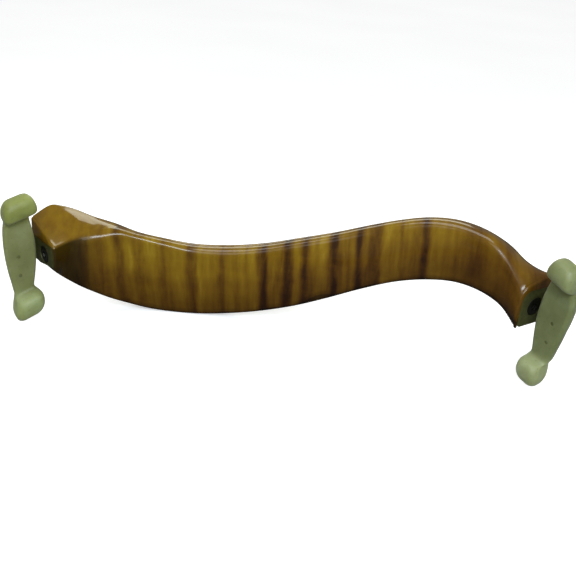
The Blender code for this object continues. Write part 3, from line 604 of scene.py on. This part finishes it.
def varnished_maple():
    mat = Shader("varnished_maple")
    position = mat.position()
    x, y, z = mat.split(position)
    # faint long grain running along the bar
    grain = mat.streaks((x, y, z), (0.030, 0.5, 0.6), detail=3.0, roughness=0.6,
                        distortion=0.25)
    colour = mat.ramp(maple_figure(mat, x, y, z, grain), MAPLE_COLOURS, "LINEAR")
    # painted shade: deeper and redder towards the lower edge and the right end, which lie
    # in shade
    left, right = LOW_EDGE[0][0], LOW_EDGE[-1][0]
    along = mat.math("DIVIDE", mat.minus(x, left), right - left)
    edge = mat.ramp(along, [((at - left) / (right - left), height / EDGE_Z_SCALE)
                            for at, height in LOW_EDGE])
    above = mat.minus(z, mat.times(edge, EDGE_Z_SCALE))
    shade = mat.ramp(mat.math("DIVIDE", above, PAINTED_SHADE_HEIGHT), EDGE_PAINTED_SHADE)
    colour = mat.tinted(colour, shade)
    right_end = mat.span(x, start=60.0, end=88.0, smooth=True)
    colour = mat.mix(right_end, colour, mat.tinted(colour, (0.72, 0.64, 0.85)))
    # painted shade: nearly black in the shaded hollow beside the left bracket
    hollow_shade = mat.times(mat.span(x, start=-76.5, end=-85.0, smooth=True),
                       mat.span(z, start=38.3, end=36.6, smooth=True))
    colour = mat.mix(hollow_shade, colour, mat.tinted(colour, (0.22, 0.24, 0.40)))
    mottle = mat.noise(position, scale=0.35, detail=3.0)
    mat.set("Base Color", colour)
    mat.set("Roughness", mat.span(mottle, start=0.3, end=0.7, low=0.34, high=0.46))
    mat.set("Specular IOR Level", 0.12)
    mat.set("Coat Weight", 1.0)
    mat.set("Coat Roughness", mat.span(mottle, start=0.3, end=0.7, low=0.09, high=0.13))
    mat.set("Coat IOR", 1.46)
    mat.set("Coat Tint", (1.0, 0.93, 0.80, 1.0))
    # the varnish lies nearly flat over the grain
    peel = mat.noise(position, scale=0.16)
    mat.set("Normal", mat.bump(grain, strength=0.10, distance=0.00006))
    mat.set("Coat Normal", mat.bump(peel, strength=0.35, distance=0.00016))
    return mat.material


def gum_rubber():
    mat = Shader("gum_rubber")
    position = mat.position()
    x, _, z = mat.split(position)
    cloud = mat.noise(position, scale=0.10, detail=3.0, roughness=0.55)
    fleck = mat.noise(position, scale=1.3, detail=4.0, roughness=0.6)
    colour = mat.ramp(cloud, RUBBER_COLOURS, "LINEAR")
    # painted light and shade: the ears are tinted paler than the plate, as their tops are
    # lit from above, and the plates darker; each tint pair is left, right
    low = mat.span(z, start=20.5, end=14.5, smooth=True)
    high = mat.span(z, start=45.0, end=51.0, smooth=True)
    right = mat.math("GREATER_THAN", x, 0.0)
    tint = mat.mix(right, (0.94, 0.93, 0.98), (0.76, 0.80, 0.86))
    tint = mat.mix(low, tint, mat.mix(right, (1.22, 1.30, 1.40), (1.30, 1.34, 1.75)))
    tint = mat.mix(high, tint, mat.mix(right, (1.12, 1.16, 0.84), (1.02, 1.06, 1.25)))
    colour = mat.tinted(colour, tint)
    dirt = mat.span(fleck, start=0.28, end=0.42, low=0.72)
    colour = mat.tinted(colour, mat.combine(dirt, dirt, dirt))
    # painted shade: darker in the hollows, found by ambient occlusion
    occlusion = mat.node("ShaderNodeAmbientOcclusion", samples=6)
    occlusion.inputs["Distance"].default_value = 0.0035
    unoccluded = mat.span(occlusion.outputs["AO"], start=0.45, end=0.95)
    colour = mat.mix(unoccluded, mat.tinted(colour, (0.62, 0.60, 0.50)), colour)
    mat.set("Base Color", colour)
    mat.set("Subsurface Weight", 0.55)
    mat.set("Subsurface Radius", (1.0, 0.85, 0.35))
    mat.set("Subsurface Scale", 0.0018)
    mat.set("Roughness", mat.span(fleck, start=0.3, end=0.7, low=0.34, high=0.50))
    mat.set("Specular IOR Level", 0.42)
    mat.set("Sheen Weight", 0.12)
    mat.set("Sheen Roughness", 0.5)
    skin = mat.noise(position, scale=2.4, detail=3.0, roughness=0.6)
    skin_share = 0.4
    mat.set("Normal", mat.bump(mat.plus(mat.times(skin, skin_share), cloud),
                               strength=0.35, distance=0.00025))
    return mat.material


def metal(name, base, worn, rough, metallic=1.0, brush=None):
    """Blotchy metal with worn edges; brush gives brushed-line frequencies per mm."""
    mat = Shader(name)
    position = mat.position()
    blotch = mat.noise(position, scale=0.8, detail=4.0, roughness=0.6)
    fine = mat.noise(position, scale=0.8 * 7, detail=3.0, roughness=0.6)
    shade = mat.span(blotch, start=0.3, end=0.7, low=0.78, high=1.22)
    colour = mat.tinted(base, mat.combine(shade, shade, shade))
    wear = mat.math("MULTIPLY", mat.edges(radius=0.18),
                    mat.span(fine, start=0.35, end=0.62), clamp=True)
    wear_strength = 0.65
    colour = mat.mix(mat.times(wear, wear_strength), colour, worn)
    mat.set("Base Color", colour)
    mat.set("Metallic", metallic)
    mat.set("Roughness", mat.span(fine, start=0.3, end=0.7, low=rough[0], high=rough[1]))
    relief = mat.noise(mat.scaled(position, brush), scale=1.0) if brush else fine
    mat.set("Normal", mat.bump(relief, strength=0.25, distance=0.00005))
    return mat.material


WOOD = varnished_maple()
RUBBER = gum_rubber()
BRONZED = metal("bronzed_steel", base=(0.112, 0.116, 0.036), worn=(0.30, 0.30, 0.18),
                rough=(0.34, 0.52), metallic=0.55)
BLACK = metal("black_oxide", base=(0.026, 0.026, 0.018), worn=(0.20, 0.20, 0.16),
              rough=(0.26, 0.40), metallic=0.7)
STEEL = metal("plated_steel", base=(0.56, 0.56, 0.54), worn=(0.82, 0.82, 0.80),
              rough=(0.20, 0.34))
BRASS = metal("brass", base=(0.60, 0.42, 0.16), worn=(0.86, 0.68, 0.34),
              rough=(0.20, 0.34))
SPRING = metal("spring_steel", base=(0.34, 0.34, 0.35), worn=(0.6, 0.6, 0.6),
               rough=(0.30, 0.45), brush=(0.3, 0.3, 8.0))


# ========================================================================= bar
# A section row holds x y z of the front-top, front-bottom, back-top and
# back-bottom edges, then the front-top, front-bottom and back radii.
def end_row(side):
    origin, out, fore, up = end_frame(side)
    origin = origin - SHIFT + out * END_LIP
    front_top, back_top, back_bottom, front_bottom = [
        origin + fore * a + up * b for a, b in END_RING[side][:4]]
    return [*front_top, *front_bottom, *back_top, *back_bottom, *END_RING[side][4:]]


def bar_rows():
    rows = [end_row("L")]
    for station in BAR:
        top, bottom = station[0:3], station[3:6]
        angle, top_depth, top_rise, bottom_depth, bottom_rise = station[6:11]
        back_x, back_y = math.sin(math.radians(angle)), math.cos(math.radians(angle))
        row = [*top, *bottom]
        for edge, depth, rise in ((top, top_depth, top_rise),
                                  (bottom, bottom_depth, bottom_rise)):
            row += [edge[0] + depth * back_x, edge[1] + depth * back_y, edge[2] + rise]
        rows.append(row + list(station[11:]))
    rows.append(end_row("R"))
    for row in rows[2:-2]:
        extra = SOFTEN_LEFT if row[0] < SOFTEN_SPLIT_X else SOFTEN_RIGHT
        row[FRONT_TOP_RADIUS] = min(FRONT_RADIUS_MAX, row[FRONT_TOP_RADIUS] + extra)
    return rows


def catmull(rows, steps):
    """Centripetal Catmull-Rom through the rows, spaced by their front edges."""
    rows = [np.array(row, float) for row in rows]
    result = []
    for i in range(len(rows) - 1):
        p1, p2 = rows[i], rows[i + 1]
        p0 = rows[i - 1] if i else 2 * p1 - p2
        p3 = rows[i + 2] if i + 2 < len(rows) else 2 * p2 - p1
        knots = [0.0]
        for a, b in ((p0, p1), (p1, p2), (p2, p3)):
            knots.append(knots[-1] + np.linalg.norm((b - a)[:6]) ** 0.5)
        t0, t1, t2, t3 = knots
        for step in range(steps + 1):
            t = t1 + (t2 - t1) * step / (steps + 1)

            def between(a, b, start, end):
                return (end - t) / (end - start) * a + (t - start) / (end - start) * b

            a1 = between(p0, p1, t0, t1)
            a2 = between(p1, p2, t1, t2)
            a3 = between(p2, p3, t2, t3)
            b1 = between(a1, a2, t0, t2)
            b2 = between(a2, a3, t1, t3)
            result.append(between(b1, b2, t1, t2))
    result.append(rows[-1])
    return result


def bar_ring(row):
    """One section: rounded corners joined by slightly bulging sides."""
    front_top, front_bottom = Vector(row[0:3]), Vector(row[3:6])
    back_top, back_bottom = Vector(row[6:9]), Vector(row[9:12])
    top_radius, low_radius, back_radius = row[12], row[13], row[14]
    corners = [(front_top, top_radius), (back_top, back_radius),
               (back_bottom, back_radius), (front_bottom, low_radius)]
    middle = (front_top + front_bottom + back_top + back_bottom) / 4
    ring = []
    for i in range(4):
        tip, radius = corners[i]
        before = corners[i - 1][0]
        after, after_radius = corners[(i + 1) % 4]
        start = tip + (before - tip).normalized() * radius
        end = tip + (after - tip).normalized() * radius
        for step in range(CORNER_STEPS + 1):
            t = step / CORNER_STEPS
            ring.append(start * (1 - t) ** 2 + tip * (2 * t * (1 - t)) + end * t * t)
        next_start = after + (tip - after).normalized() * after_radius
        away = (tip + after) / 2 - middle
        along = (after - tip).normalized()
        away = (away - along * away.dot(along)).normalized()
        bulge = BROAD_BULGE if i in (1, 3) else NARROW_BULGE
        for step in range(1, FLANK_STEPS):
            t = step / FLANK_STEPS
            ring.append(end.lerp(next_start, t) + away * bulge * 4 * t * (1 - t))
    return ring


def crease(station, across):
    """Height of the crease; across runs 0 to 1 over the top from front to back."""
    centre = CREASE_FRONT - CREASE_DRIFT * across
    ridge = clamp(1.0 - abs(station - centre) / CREASE_REACH)
    return CREASE_HEIGHT * ridge * clamp(4.4 * across * (1.0 - across))


def raise_crease(ring, row, station):
    """Lift the top side of a section by the crease height."""
    front_top, front_bottom, back_top = [Vector(row[i:i + 3]) for i in (0, 3, 6)]
    along = (back_top - front_top).normalized()
    up = (front_top - front_bottom).normalized()
    up = (up - along * up.dot(along)).normalized()
    for step in range(FLANK_STEPS + 1):
        ring[CORNER_STEPS + step] += up * crease(station, step / FLANK_STEPS)


def rounded_end(ring, side):
    """Rings that round over the end edge, from the bar side outwards."""
    centre = sum(ring, Vector()) / len(ring)
    out = end_frame(side)[1]
    rings = []
    for i in range(6):
        angle = math.radians(18.0 * i)
        rings.append([p + (centre - p).normalized() * END_ROUND * (1 - math.cos(angle))
                      - out * END_ROUND * (1 - math.sin(angle)) for p in ring])
    return rings


def pocket_outline(side):
    """Seat for the leaf: GAP at front and top, run out through the back and base."""
    top = max(corner[1] for corner in LEAF[side]) + GAP
    base = min(corner[1] for corner in LEAF[side]) - 12.0
    front = max(corner[0] for corner in LEAF[side]) + GAP
    back = -18.0
    return ((front, top, LEAF[side][0][2] + GAP), (back, top, 0.4), (back, base, 0.4),
            (front, base, 0.4))


def build_bar():
    rings = []
    for i, row in enumerate(catmull(bar_rows(), BAR_STEPS)):
        ring = bar_ring(row)
        raise_crease(ring, row, i / (BAR_STEPS + 1))
        rings.append(ring)
    rings[:1] = rounded_end(rings[0], "L")[::-1]
    rings[-1:] = rounded_end(rings[-1], "R")
    bar = add_object("maple_bar", loft([[p + SHIFT for p in ring] for ring in rings]), WOOD)
    for side in ("L", "R"):
        where = end_frame(side)
        pocket = prism(rounded_poly(pocket_outline(side), 10), -POCKET_DEPTH, 6.0, "out")
        boolean(bar, "pocket", place(pocket, where))
        bore = prism(disc(INSERT_D / 2 + GAP, 40), INSERT_INNER_END - 0.5, -1.0, "out")
        boolean(bar, "bore", place(bore, where, (0, *SCREW_AT[side])))
    register(bar, "rest", "bar")


# ========================================================== bracket and screw
def build_bracket(side):
    where = end_frame(side)
    leaf = prism(rounded_poly(LEAF[side], 12), -LEAF_T, 0.0, "out")
    bracket = add_object("end_bracket_" + side, place(leaf, where), BRONZED)
    arm = prism(tongue(ARM_HALF, 37, centre=POST_OUT, root=-LEAF_T + 0.6),
                ARM_BACK, ARM_FRONT, "fore")
    boolean(bracket, "arm", place(arm, where), "UNION")
    # fillet in the corner between arm and leaf: (out, fore)
    fillet = [(-0.5, ARM_FRONT - 0.5), (2.2, ARM_FRONT - 0.5), (2.2, ARM_FRONT),
              (1.1, ARM_FRONT + 0.35), (0.35, ARM_FRONT + 1.1), (0.0, ARM_FRONT + 2.2),
              (-0.5, ARM_FRONT + 2.2)]
    boolean(bracket, "fillet",
            place(prism(fillet, -FILLET_HALF, FILLET_HALF, "up"), where), "UNION")
    post_hole = prism(disc(ARM_HOLE_D / 2, 48), ARM_BACK - 1, ARM_FRONT + 1, "fore")
    boolean(bracket, "hole", place(post_hole, where, (POST_OUT, 0, 0)))
    shank_hole = prism(disc(SCREW_D / 2 + GAP, 40), -LEAF_T - 1, 1.0, "out")
    head_recess = prism(disc(SCREW_HEAD_D / 2 + GAP, 56), -SCREW_HEAD_H - 2 * GAP, 1.0,
                        "out")
    for hole in (shank_hole, head_recess):
        boolean(bracket, "hole", place(hole, where, (0, *SCREW_AT[side])))
    bevel_edges(bracket, width=0.22, angle=32.0)
    register(bracket, "rest", "bracket_" + side)


def build_screw(side):
    """Socket screw; the profile is (radius, out)."""
    where, at = end_frame(side), (0, *SCREW_AT[side])
    shank, head = SCREW_D / 2, SCREW_HEAD_D / 2
    under = SCREW_TOP - SCREW_HEAD_H
    profile = [(shank - SCREW_TIP_CHAMFER, SCREW_TIP),
               (shank, SCREW_TIP + SCREW_TIP_CHAMFER), (shank, under),
               (head - 0.1, under), (head, under + 0.1)]
    for i in range(6):
        angle = math.radians(18 * i)
        profile.append((head - SCREW_HEAD_ROUND + SCREW_HEAD_ROUND * math.cos(angle),
                        SCREW_TOP - SCREW_HEAD_ROUND + SCREW_HEAD_ROUND * math.sin(angle)))
    points, faces = lathe(profile, 56, capped=True)
    # turned about fore, so swap fore and out
    points = [(p[1], p[0], p[2]) for p in points]
    screw = add_object("socket_screw_" + side, place((points, faces), where, at), BLACK)
    hexagon = disc(SOCKET_FLATS / 2 / math.cos(math.pi / 6), 6)
    boolean(screw, "hexagon",
            place(prism(hexagon, SCREW_TOP - SOCKET_DEPTH, 1.0, "out"), where, at))
    bevel_edges(screw, width=0.07, angle=40.0)
    register(screw, "rest", "bracket_screw_" + side)


# =================================================== post, nut and washers
def thread_rings(segments):
    """Helical thread from the tail to just behind the collar."""
    per_pitch = 8
    radius = POST_D / 2
    tail, end = POST_TAIL, COLLAR[0] - 0.55
    count = int(round((end - tail) / PITCH * per_pitch))
    rings = []
    for step in range(count + 1):
        fore = tail + (end - tail) * step / count
        fade = clamp((end - fore) / 0.5)
        # the tail tapers to 0.6 under the thread radius
        limit = radius - 0.6 + 0.6 * clamp((fore - tail) / 0.6)
        ring = []
        for i in range(segments):
            angle = 2 * math.pi * i / segments
            phase = ((fore - tail) / PITCH + angle / (2 * math.pi)) % 1.0
            groove = clamp((abs(2 * phase - 1.0) - 0.10) / 0.78)
            ring.append(around(min(radius - THREAD_DEPTH * groove * fade, limit),
                               angle, fore))
        rings.append(ring)
    return rings


def build_post(side):
    segments = 48
    journal, collar, shaft, head = JOURNAL_D / 2, COLLAR_D / 2, POST_D / 2, HEAD_D / 2
    # collar, journal and head: (radius, fore)
    profile = [
        (shaft, COLLAR[0] - 0.3), (shaft + 0.08, COLLAR[0] - 0.08),
        (shaft + 0.25, COLLAR[0]), (collar - 0.25, COLLAR[0]),
        (collar - 0.07, COLLAR[0] + 0.07), (collar, COLLAR[0] + 0.25),
        (collar, COLLAR[1] - 0.25), (collar - 0.07, COLLAR[1] - 0.07),
        (collar - 0.25, COLLAR[1]), (journal, COLLAR[1]), (journal, HEAD[0]),
        (head - 0.05, HEAD[0]), (head, HEAD[0] + 0.1), (head, HEAD[0] + 0.3),
        (head - 0.3, HEAD[1] - 0.2), (head - 0.8, HEAD[1] - 0.05), (0.9, HEAD[1])]
    rings = thread_rings(segments)
    for radius, fore in profile:
        rings.append([around(radius, 2 * math.pi * i / segments, fore)
                      for i in range(segments)])
    post = add_object("threaded_post_" + side, place(loft(rings), post_frame(side)),
                      STEEL, angle=38.0)
    register(post, "post_" + side, "post_" + side)


def build_nut(side):
    """Knurled lock nut: straight fine knurl between two turned chamfers."""
    teeth, per_tooth = 36, 6
    count = teeth * per_tooth
    outer, bore = NUT_D / 2, POST_D / 2 + GAP
    back, front = NUT
    # radius, fore, knurl depth
    profile = [
        (bore, back + 0.15, 0), (bore + 0.15, back, 0), (outer - 0.62, back, 0),
        (outer - 0.45, back + 0.06, 0), (outer - 0.12, back + 0.3, 0.1),
        (outer, back + 0.42, 0.28), (outer, front - 0.42, 0.28),
        (outer - 0.12, front - 0.3, 0.1), (outer - 0.45, front - 0.06, 0),
        (outer - 0.62, front, 0), (bore + 0.15, front, 0), (bore, front - 0.15, 0)]
    rings = []
    for radius, fore, depth in profile:
        ring = []
        for i in range(count):
            groove = clamp((abs(2 * ((i / per_tooth) % 1.0) - 1.0) - 0.15) / 0.7)
            ring.append(around(radius - depth * groove, 2 * math.pi * i / count, fore))
        rings.append(ring)
    nut = add_object("knurled_nut_" + side,
                     place(loft(rings, closed=True), post_frame(side)), BRASS, angle=30.0)
    register(nut, "nut_" + side, "lock_nut_" + side)


def build_washer(name, side, body, node, bore, outer, span):
    back, front = span
    edge, third = WASHER_CHAMFER, WASHER_CHAMFER * 0.3
    profile = [(bore, back + edge), (bore + edge, back), (outer - edge, back),
               (outer - third, back + third), (outer, back + edge), (outer, front - edge),
               (outer - third, front - third), (outer - edge, front),
               (bore + edge, front), (bore, front - edge)]
    washer = add_object(name + side, place(lathe(profile, 64), post_frame(side)), STEEL,
                        angle=30.0)
    register(washer, body + side, node + side)


# ======================================================================== claw
def slanted(points, side):
    """Slope the ears: heights shift with out, above and below the plate."""
    def ease(value):
        value = clamp(value)
        return value * value * (3 - 2 * value)

    top, low = [math.tan(math.radians(slope)) for slope in (TOP_SLANT, LOW_SLANT[side])]
    return [(out, fore, up - out * (top * ease((up - SLANT_START) / SLANT_RUN)
                                    + low * ease((-up - SLANT_START) / SLANT_RUN)))
            for out, fore, up in points]


def smooth_rows(rows, steps):
    """Cubic curve through the section table, every row kept."""
    rows = [np.array(row, float) for row in rows]
    result = []
    for i in range(len(rows) - 1):
        here, there = rows[i], rows[i + 1]
        before = rows[i - 1] if i else here
        after = rows[i + 2] if i + 2 < len(rows) else there
        height = there[0] - here[0]
        slope_here = (there - before) / (there[0] - before[0]) * height
        slope_there = (after - here) / (after[0] - here[0]) * height
        for step in range(steps):
            t = step / steps
            result.append((2 * t ** 3 - 3 * t ** 2 + 1) * here
                          + (t ** 3 - 2 * t ** 2 + t) * slope_here
                          + (-2 * t ** 3 + 3 * t ** 2) * there
                          + (t ** 3 - t ** 2) * slope_there)
    result.append(rows[-1])
    for row in result:
        row[3] = max(row[3], 0.0)    # nothing sinks behind the pad face
    return result


def boot_ring(row, side):
    """Claw section: the outer flank leans in towards the back."""
    up, inner, outer, front, back, radius, lean = row
    ear = clamp(front / 4.0)
    if up > 0.0:
        inner += EAR_IN[side] * ear
    else:
        inner += EAR_LOW[side] * ear
        outer += EAR_LOW[side] * ear
    outer += PLATE_OUT[side] * clamp(1.0 - ((up - 9.0) / 11.0) ** 2)
    corners = ((outer, front, radius), (-inner, front, radius),
               (-inner + 0.4, back, radius), (outer - lean, back, radius))
    return [(out, fore, up) for out, fore in rounded_poly(corners, BOOT_CORNER_STEPS)]


def boot_solid(side):
    rings = [slanted(boot_ring(row, side), side) for row in smooth_rows(BOOT, BOOT_STEPS)]

    def dome(ring, sign):
        """Shrinking rings that close a tip."""
        centre = [sum(p[axis] for p in ring) / len(ring) for axis in range(3)]
        result = []
        for share in (0.72, 0.40, 0.12):
            lift = (0.0, 0.0, sign * 0.28 * (1 - share * share))
            result.append([tuple(centre[a] + (p[a] - centre[a]) * share + lift[a]
                                 for a in range(3)) for p in ring])
        return result

    return loft(dome(rings[0], -1.0)[::-1] + rings + dome(rings[-1], 1.0))


def strip_cavity(side):
    """Room for the bent steel strip (ear, plate, ear), GAP / 2 larger all round."""
    grow = GAP / 2
    path = [Vector(p) for p in STRIP_PATH]
    path[0] += (path[0] - path[1]).normalized() * grow
    path[-1] += (path[-1] - path[-2]).normalized() * grow
    heights, inners, outers = [[row[column] for row in BOOT] for column in range(3)]
    rings = []
    for i, p in enumerate(path):
        before = (p - path[i - 1]).normalized() if i else (path[1] - p).normalized()
        after = (path[i + 1] - p).normalized() if i + 1 < len(path) else before
        along = (before + after).normalized()
        offset = Vector((along.y, -along.x)) * (
            (STRIP_T / 2 + grow) / max(along.dot(before), 0.5))
        (back_up, back), (front_up, front) = p + offset, p - offset
        up = (back_up + front_up) / 2
        limit = 3.4 if abs(up) > 12.0 else 9.0
        inner = min(float(np.interp(up, heights, inners)) - 2.0, limit) + grow
        outer = min(float(np.interp(up, heights, outers)) - 1.7 - STRIP_TRIM,
                    limit - 0.6) + grow
        rings.append([(-inner, back, back_up), (outer, back, back_up),
                      (outer, front, front_up), (-inner, front, front_up)])
    points, faces = loft(rings)
    return slanted(points, side), faces


def build_claw(side):
    where = claw_frame(side)
    post_at = (POST_IN_CLAW[side], 0, 0)
    claw = add_object("rubber_claw_" + side, place(boot_solid(side), where), RUBBER)
    boolean(claw, "cavity", place(strip_cavity(side), where))
    pocket = prism(disc(HEAD_D / 2 + 0.45, 32), STRIP_BACK + STRIP_T - 0.2,
                   HEAD[1] + GAP, "fore")
    boolean(claw, "pocket", place(pocket, where, post_at))
    # seat for the thrust washer, open on the inner side
    mouth = prism(tongue(THRUST_D / 2 + 0.6, 25, centre=0.0, root=-14.0),
                  -PAD_T - 1.0, STRIP_BACK + 0.2, "fore")
    boolean(claw, "mouth", place(mouth, where, post_at))
    for out, up in DIMPLES:
        dimple = prism(disc(0.75, 24), -0.45, 1.0, "fore")
        boolean(claw, "dimple", place(dimple, where, (out, 0, up)))
    claw.data.set_sharp_from_angle(angle=math.radians(50.0))
    register(claw, "claw_" + side, "claw_boot_" + side)


build_bar()
for side in ("L", "R"):
    build_bracket(side)
    build_screw(side)
    build_post(side)
    build_nut(side)
    build_washer("star_washer_", side, body="lock_", node="lock_washer_",
                 bore=POST_D / 2 + GAP, outer=LOCK_WASHER_D / 2, span=LOCK_WASHER)
    build_washer("bearing_washer_", side, body="height_", node="thrust_washer_",
                 bore=JOURNAL_D / 2 + GAP, outer=THRUST_D / 2, span=THRUST)
    build_claw(side)
    # these two keep their plain solids
    for node, material in (("insert_" + side, BRASS), ("claw_core_" + side, SPRING)):
        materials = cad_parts[node].data.materials
        materials.clear()
        materials.append(material)

# ============================================================ floor and lights
CENTRE = SHIFT * MM


def build_floor():
    mesh = bpy.data.meshes.new("floor")
    bm = bmesh.new()
    bmesh.ops.create_grid(bm, x_segments=8, y_segments=8, size=6.0)
    bm.to_mesh(mesh)
    bm.free()
    obj = bpy.data.objects.new("floor", mesh)
    bpy.context.scene.collection.objects.link(obj)
    obj.location = (0, 0, -0.0002)
    mat = Shader("pale_floor")
    cloud = mat.noise(mat.position(), scale=0.004)
    pale = mat.ramp(cloud, [(0.3, (0.86, 0.86, 0.855)), (0.7, (0.90, 0.90, 0.895))])
    # pale to the eye, but throws less light back up at the object
    path = mat.node("ShaderNodeLightPath")
    seen = path.outputs["Is Camera Ray"]
    bounced = mat.mix(path.outputs["Is Glossy Ray"], (0.38, 0.38, 0.37), (0.05, 0.05, 0.05))
    glow = 0.50
    mat.set("Base Color", mat.mix(seen, bounced, pale))
    mat.set("Emission Color", (1.0, 1.0, 1.0, 1.0))
    mat.set("Emission Strength", mat.times(seen, glow))
    mat.set("Roughness", 0.75)
    mat.set("Specular IOR Level", 0.15)
    mesh.materials.append(mat.material)


def add_light(name, kind, at, target, power, colour):
    light = bpy.data.lights.new(name, kind)
    light.energy = power
    light.color = colour
    obj = bpy.data.objects.new(name, light)
    bpy.context.scene.collection.objects.link(obj)
    obj.location = at
    aim = Vector(target) - obj.location
    obj.rotation_euler = aim.to_track_quat("-Z", "Y").to_euler()
    return obj


def add_area(name, at, target, width, height, power, colour):
    """Rectangular lamp, hidden from the camera; sizes in metres."""
    obj = add_light(name, "AREA", at, target, power, colour)
    obj.data.shape = "RECTANGLE"
    obj.data.size = width
    obj.data.size_y = height
    obj.visible_camera = False


build_floor()
sun = add_light("overhead", "SUN", at=Vector((-0.28, -0.22, 0.93)) * 2.0,
                target=(0, 0, 0), power=0.78, colour=(0.97, 0.985, 1.0))
sun.data.angle = math.radians(30.0)
add_area("front", at=(0.115, -0.415, 0.394), target=CENTRE, width=0.82, height=0.27,
         power=1.10, colour=(0.95, 0.975, 1.0))
add_area("rear_left", at=(-0.036, 0.305, 0.283), target=(-0.08, 0.005, 0.037),
         width=0.33, height=0.155, power=0.52, colour=(0.97, 1.0, 0.88))
add_area("ridge_strip", at=(0.119, -0.365, 0.341), target=(-0.06, -0.014, 0.033),
         width=0.35, height=0.12, power=1.35, colour=(0.80, 0.91, 1.0))

# ======================================================================= world
# white to the camera, dim as a light, dimmer still in reflections
WORLD_LIGHT, WORLD_REFLECTED = 0.30, 0.14
world = bpy.data.worlds.new("studio")
world.use_nodes = True
tree = world.node_tree
background = tree.nodes["Background"]
background.inputs[0].default_value = (1.0, 1.0, 1.0, 1.0)
rays = tree.nodes.new("ShaderNodeLightPath")
dim = tree.nodes.new("ShaderNodeMapRange")
dim.inputs[3].default_value = WORLD_LIGHT
dim.inputs[4].default_value = WORLD_REFLECTED
tree.links.new(rays.outputs["Is Glossy Ray"], dim.inputs[0])
strength = tree.nodes.new("ShaderNodeMath")
strength.operation = "MAXIMUM"
tree.links.new(dim.outputs[0], strength.inputs[0])
tree.links.new(rays.outputs["Is Camera Ray"], strength.inputs[1])
tree.links.new(strength.outputs[0], background.inputs[1])
scene = bpy.context.scene
scene.world = world
scene.view_settings.view_transform = "Standard"
scene.view_settings.look = "None"

# ====================================================================== camera
# close, above the floor, a little to the right of square on
ELEVATION = math.radians(27.0)
AZIMUTH = math.radians(8.4)
ROLL = math.radians(3.2)
DISTANCE = 280.0
away = Vector((math.sin(AZIMUTH) * math.cos(ELEVATION),
               -math.cos(AZIMUTH) * math.cos(ELEVATION), math.sin(ELEVATION)))
level_right = Vector((0, 0, 1)).cross(away).normalized()
level_up = away.cross(level_right)
right = level_right * math.cos(ROLL) + level_up * math.sin(ROLL)
up = level_up * math.cos(ROLL) - level_right * math.sin(ROLL)
camera = bpy.data.cameras.new("camera")
camera.sensor_width = 36.0
camera.sensor_fit = "HORIZONTAL"
camera.lens = 45.6990625
camera.shift_x = 0.0270486111
camera.shift_y = 0.00164930556
camera.clip_start = 0.01
camera.clip_end = 30.0
camera_object = bpy.data.objects.new("camera", camera)
scene.collection.objects.link(camera_object)
pose = Matrix((right, up, away)).transposed().to_4x4()
pose.translation = CENTRE + away * (DISTANCE * MM)
camera_object.matrix_world = pose
scene.camera = camera_object

bpy.context.view_layer.update()
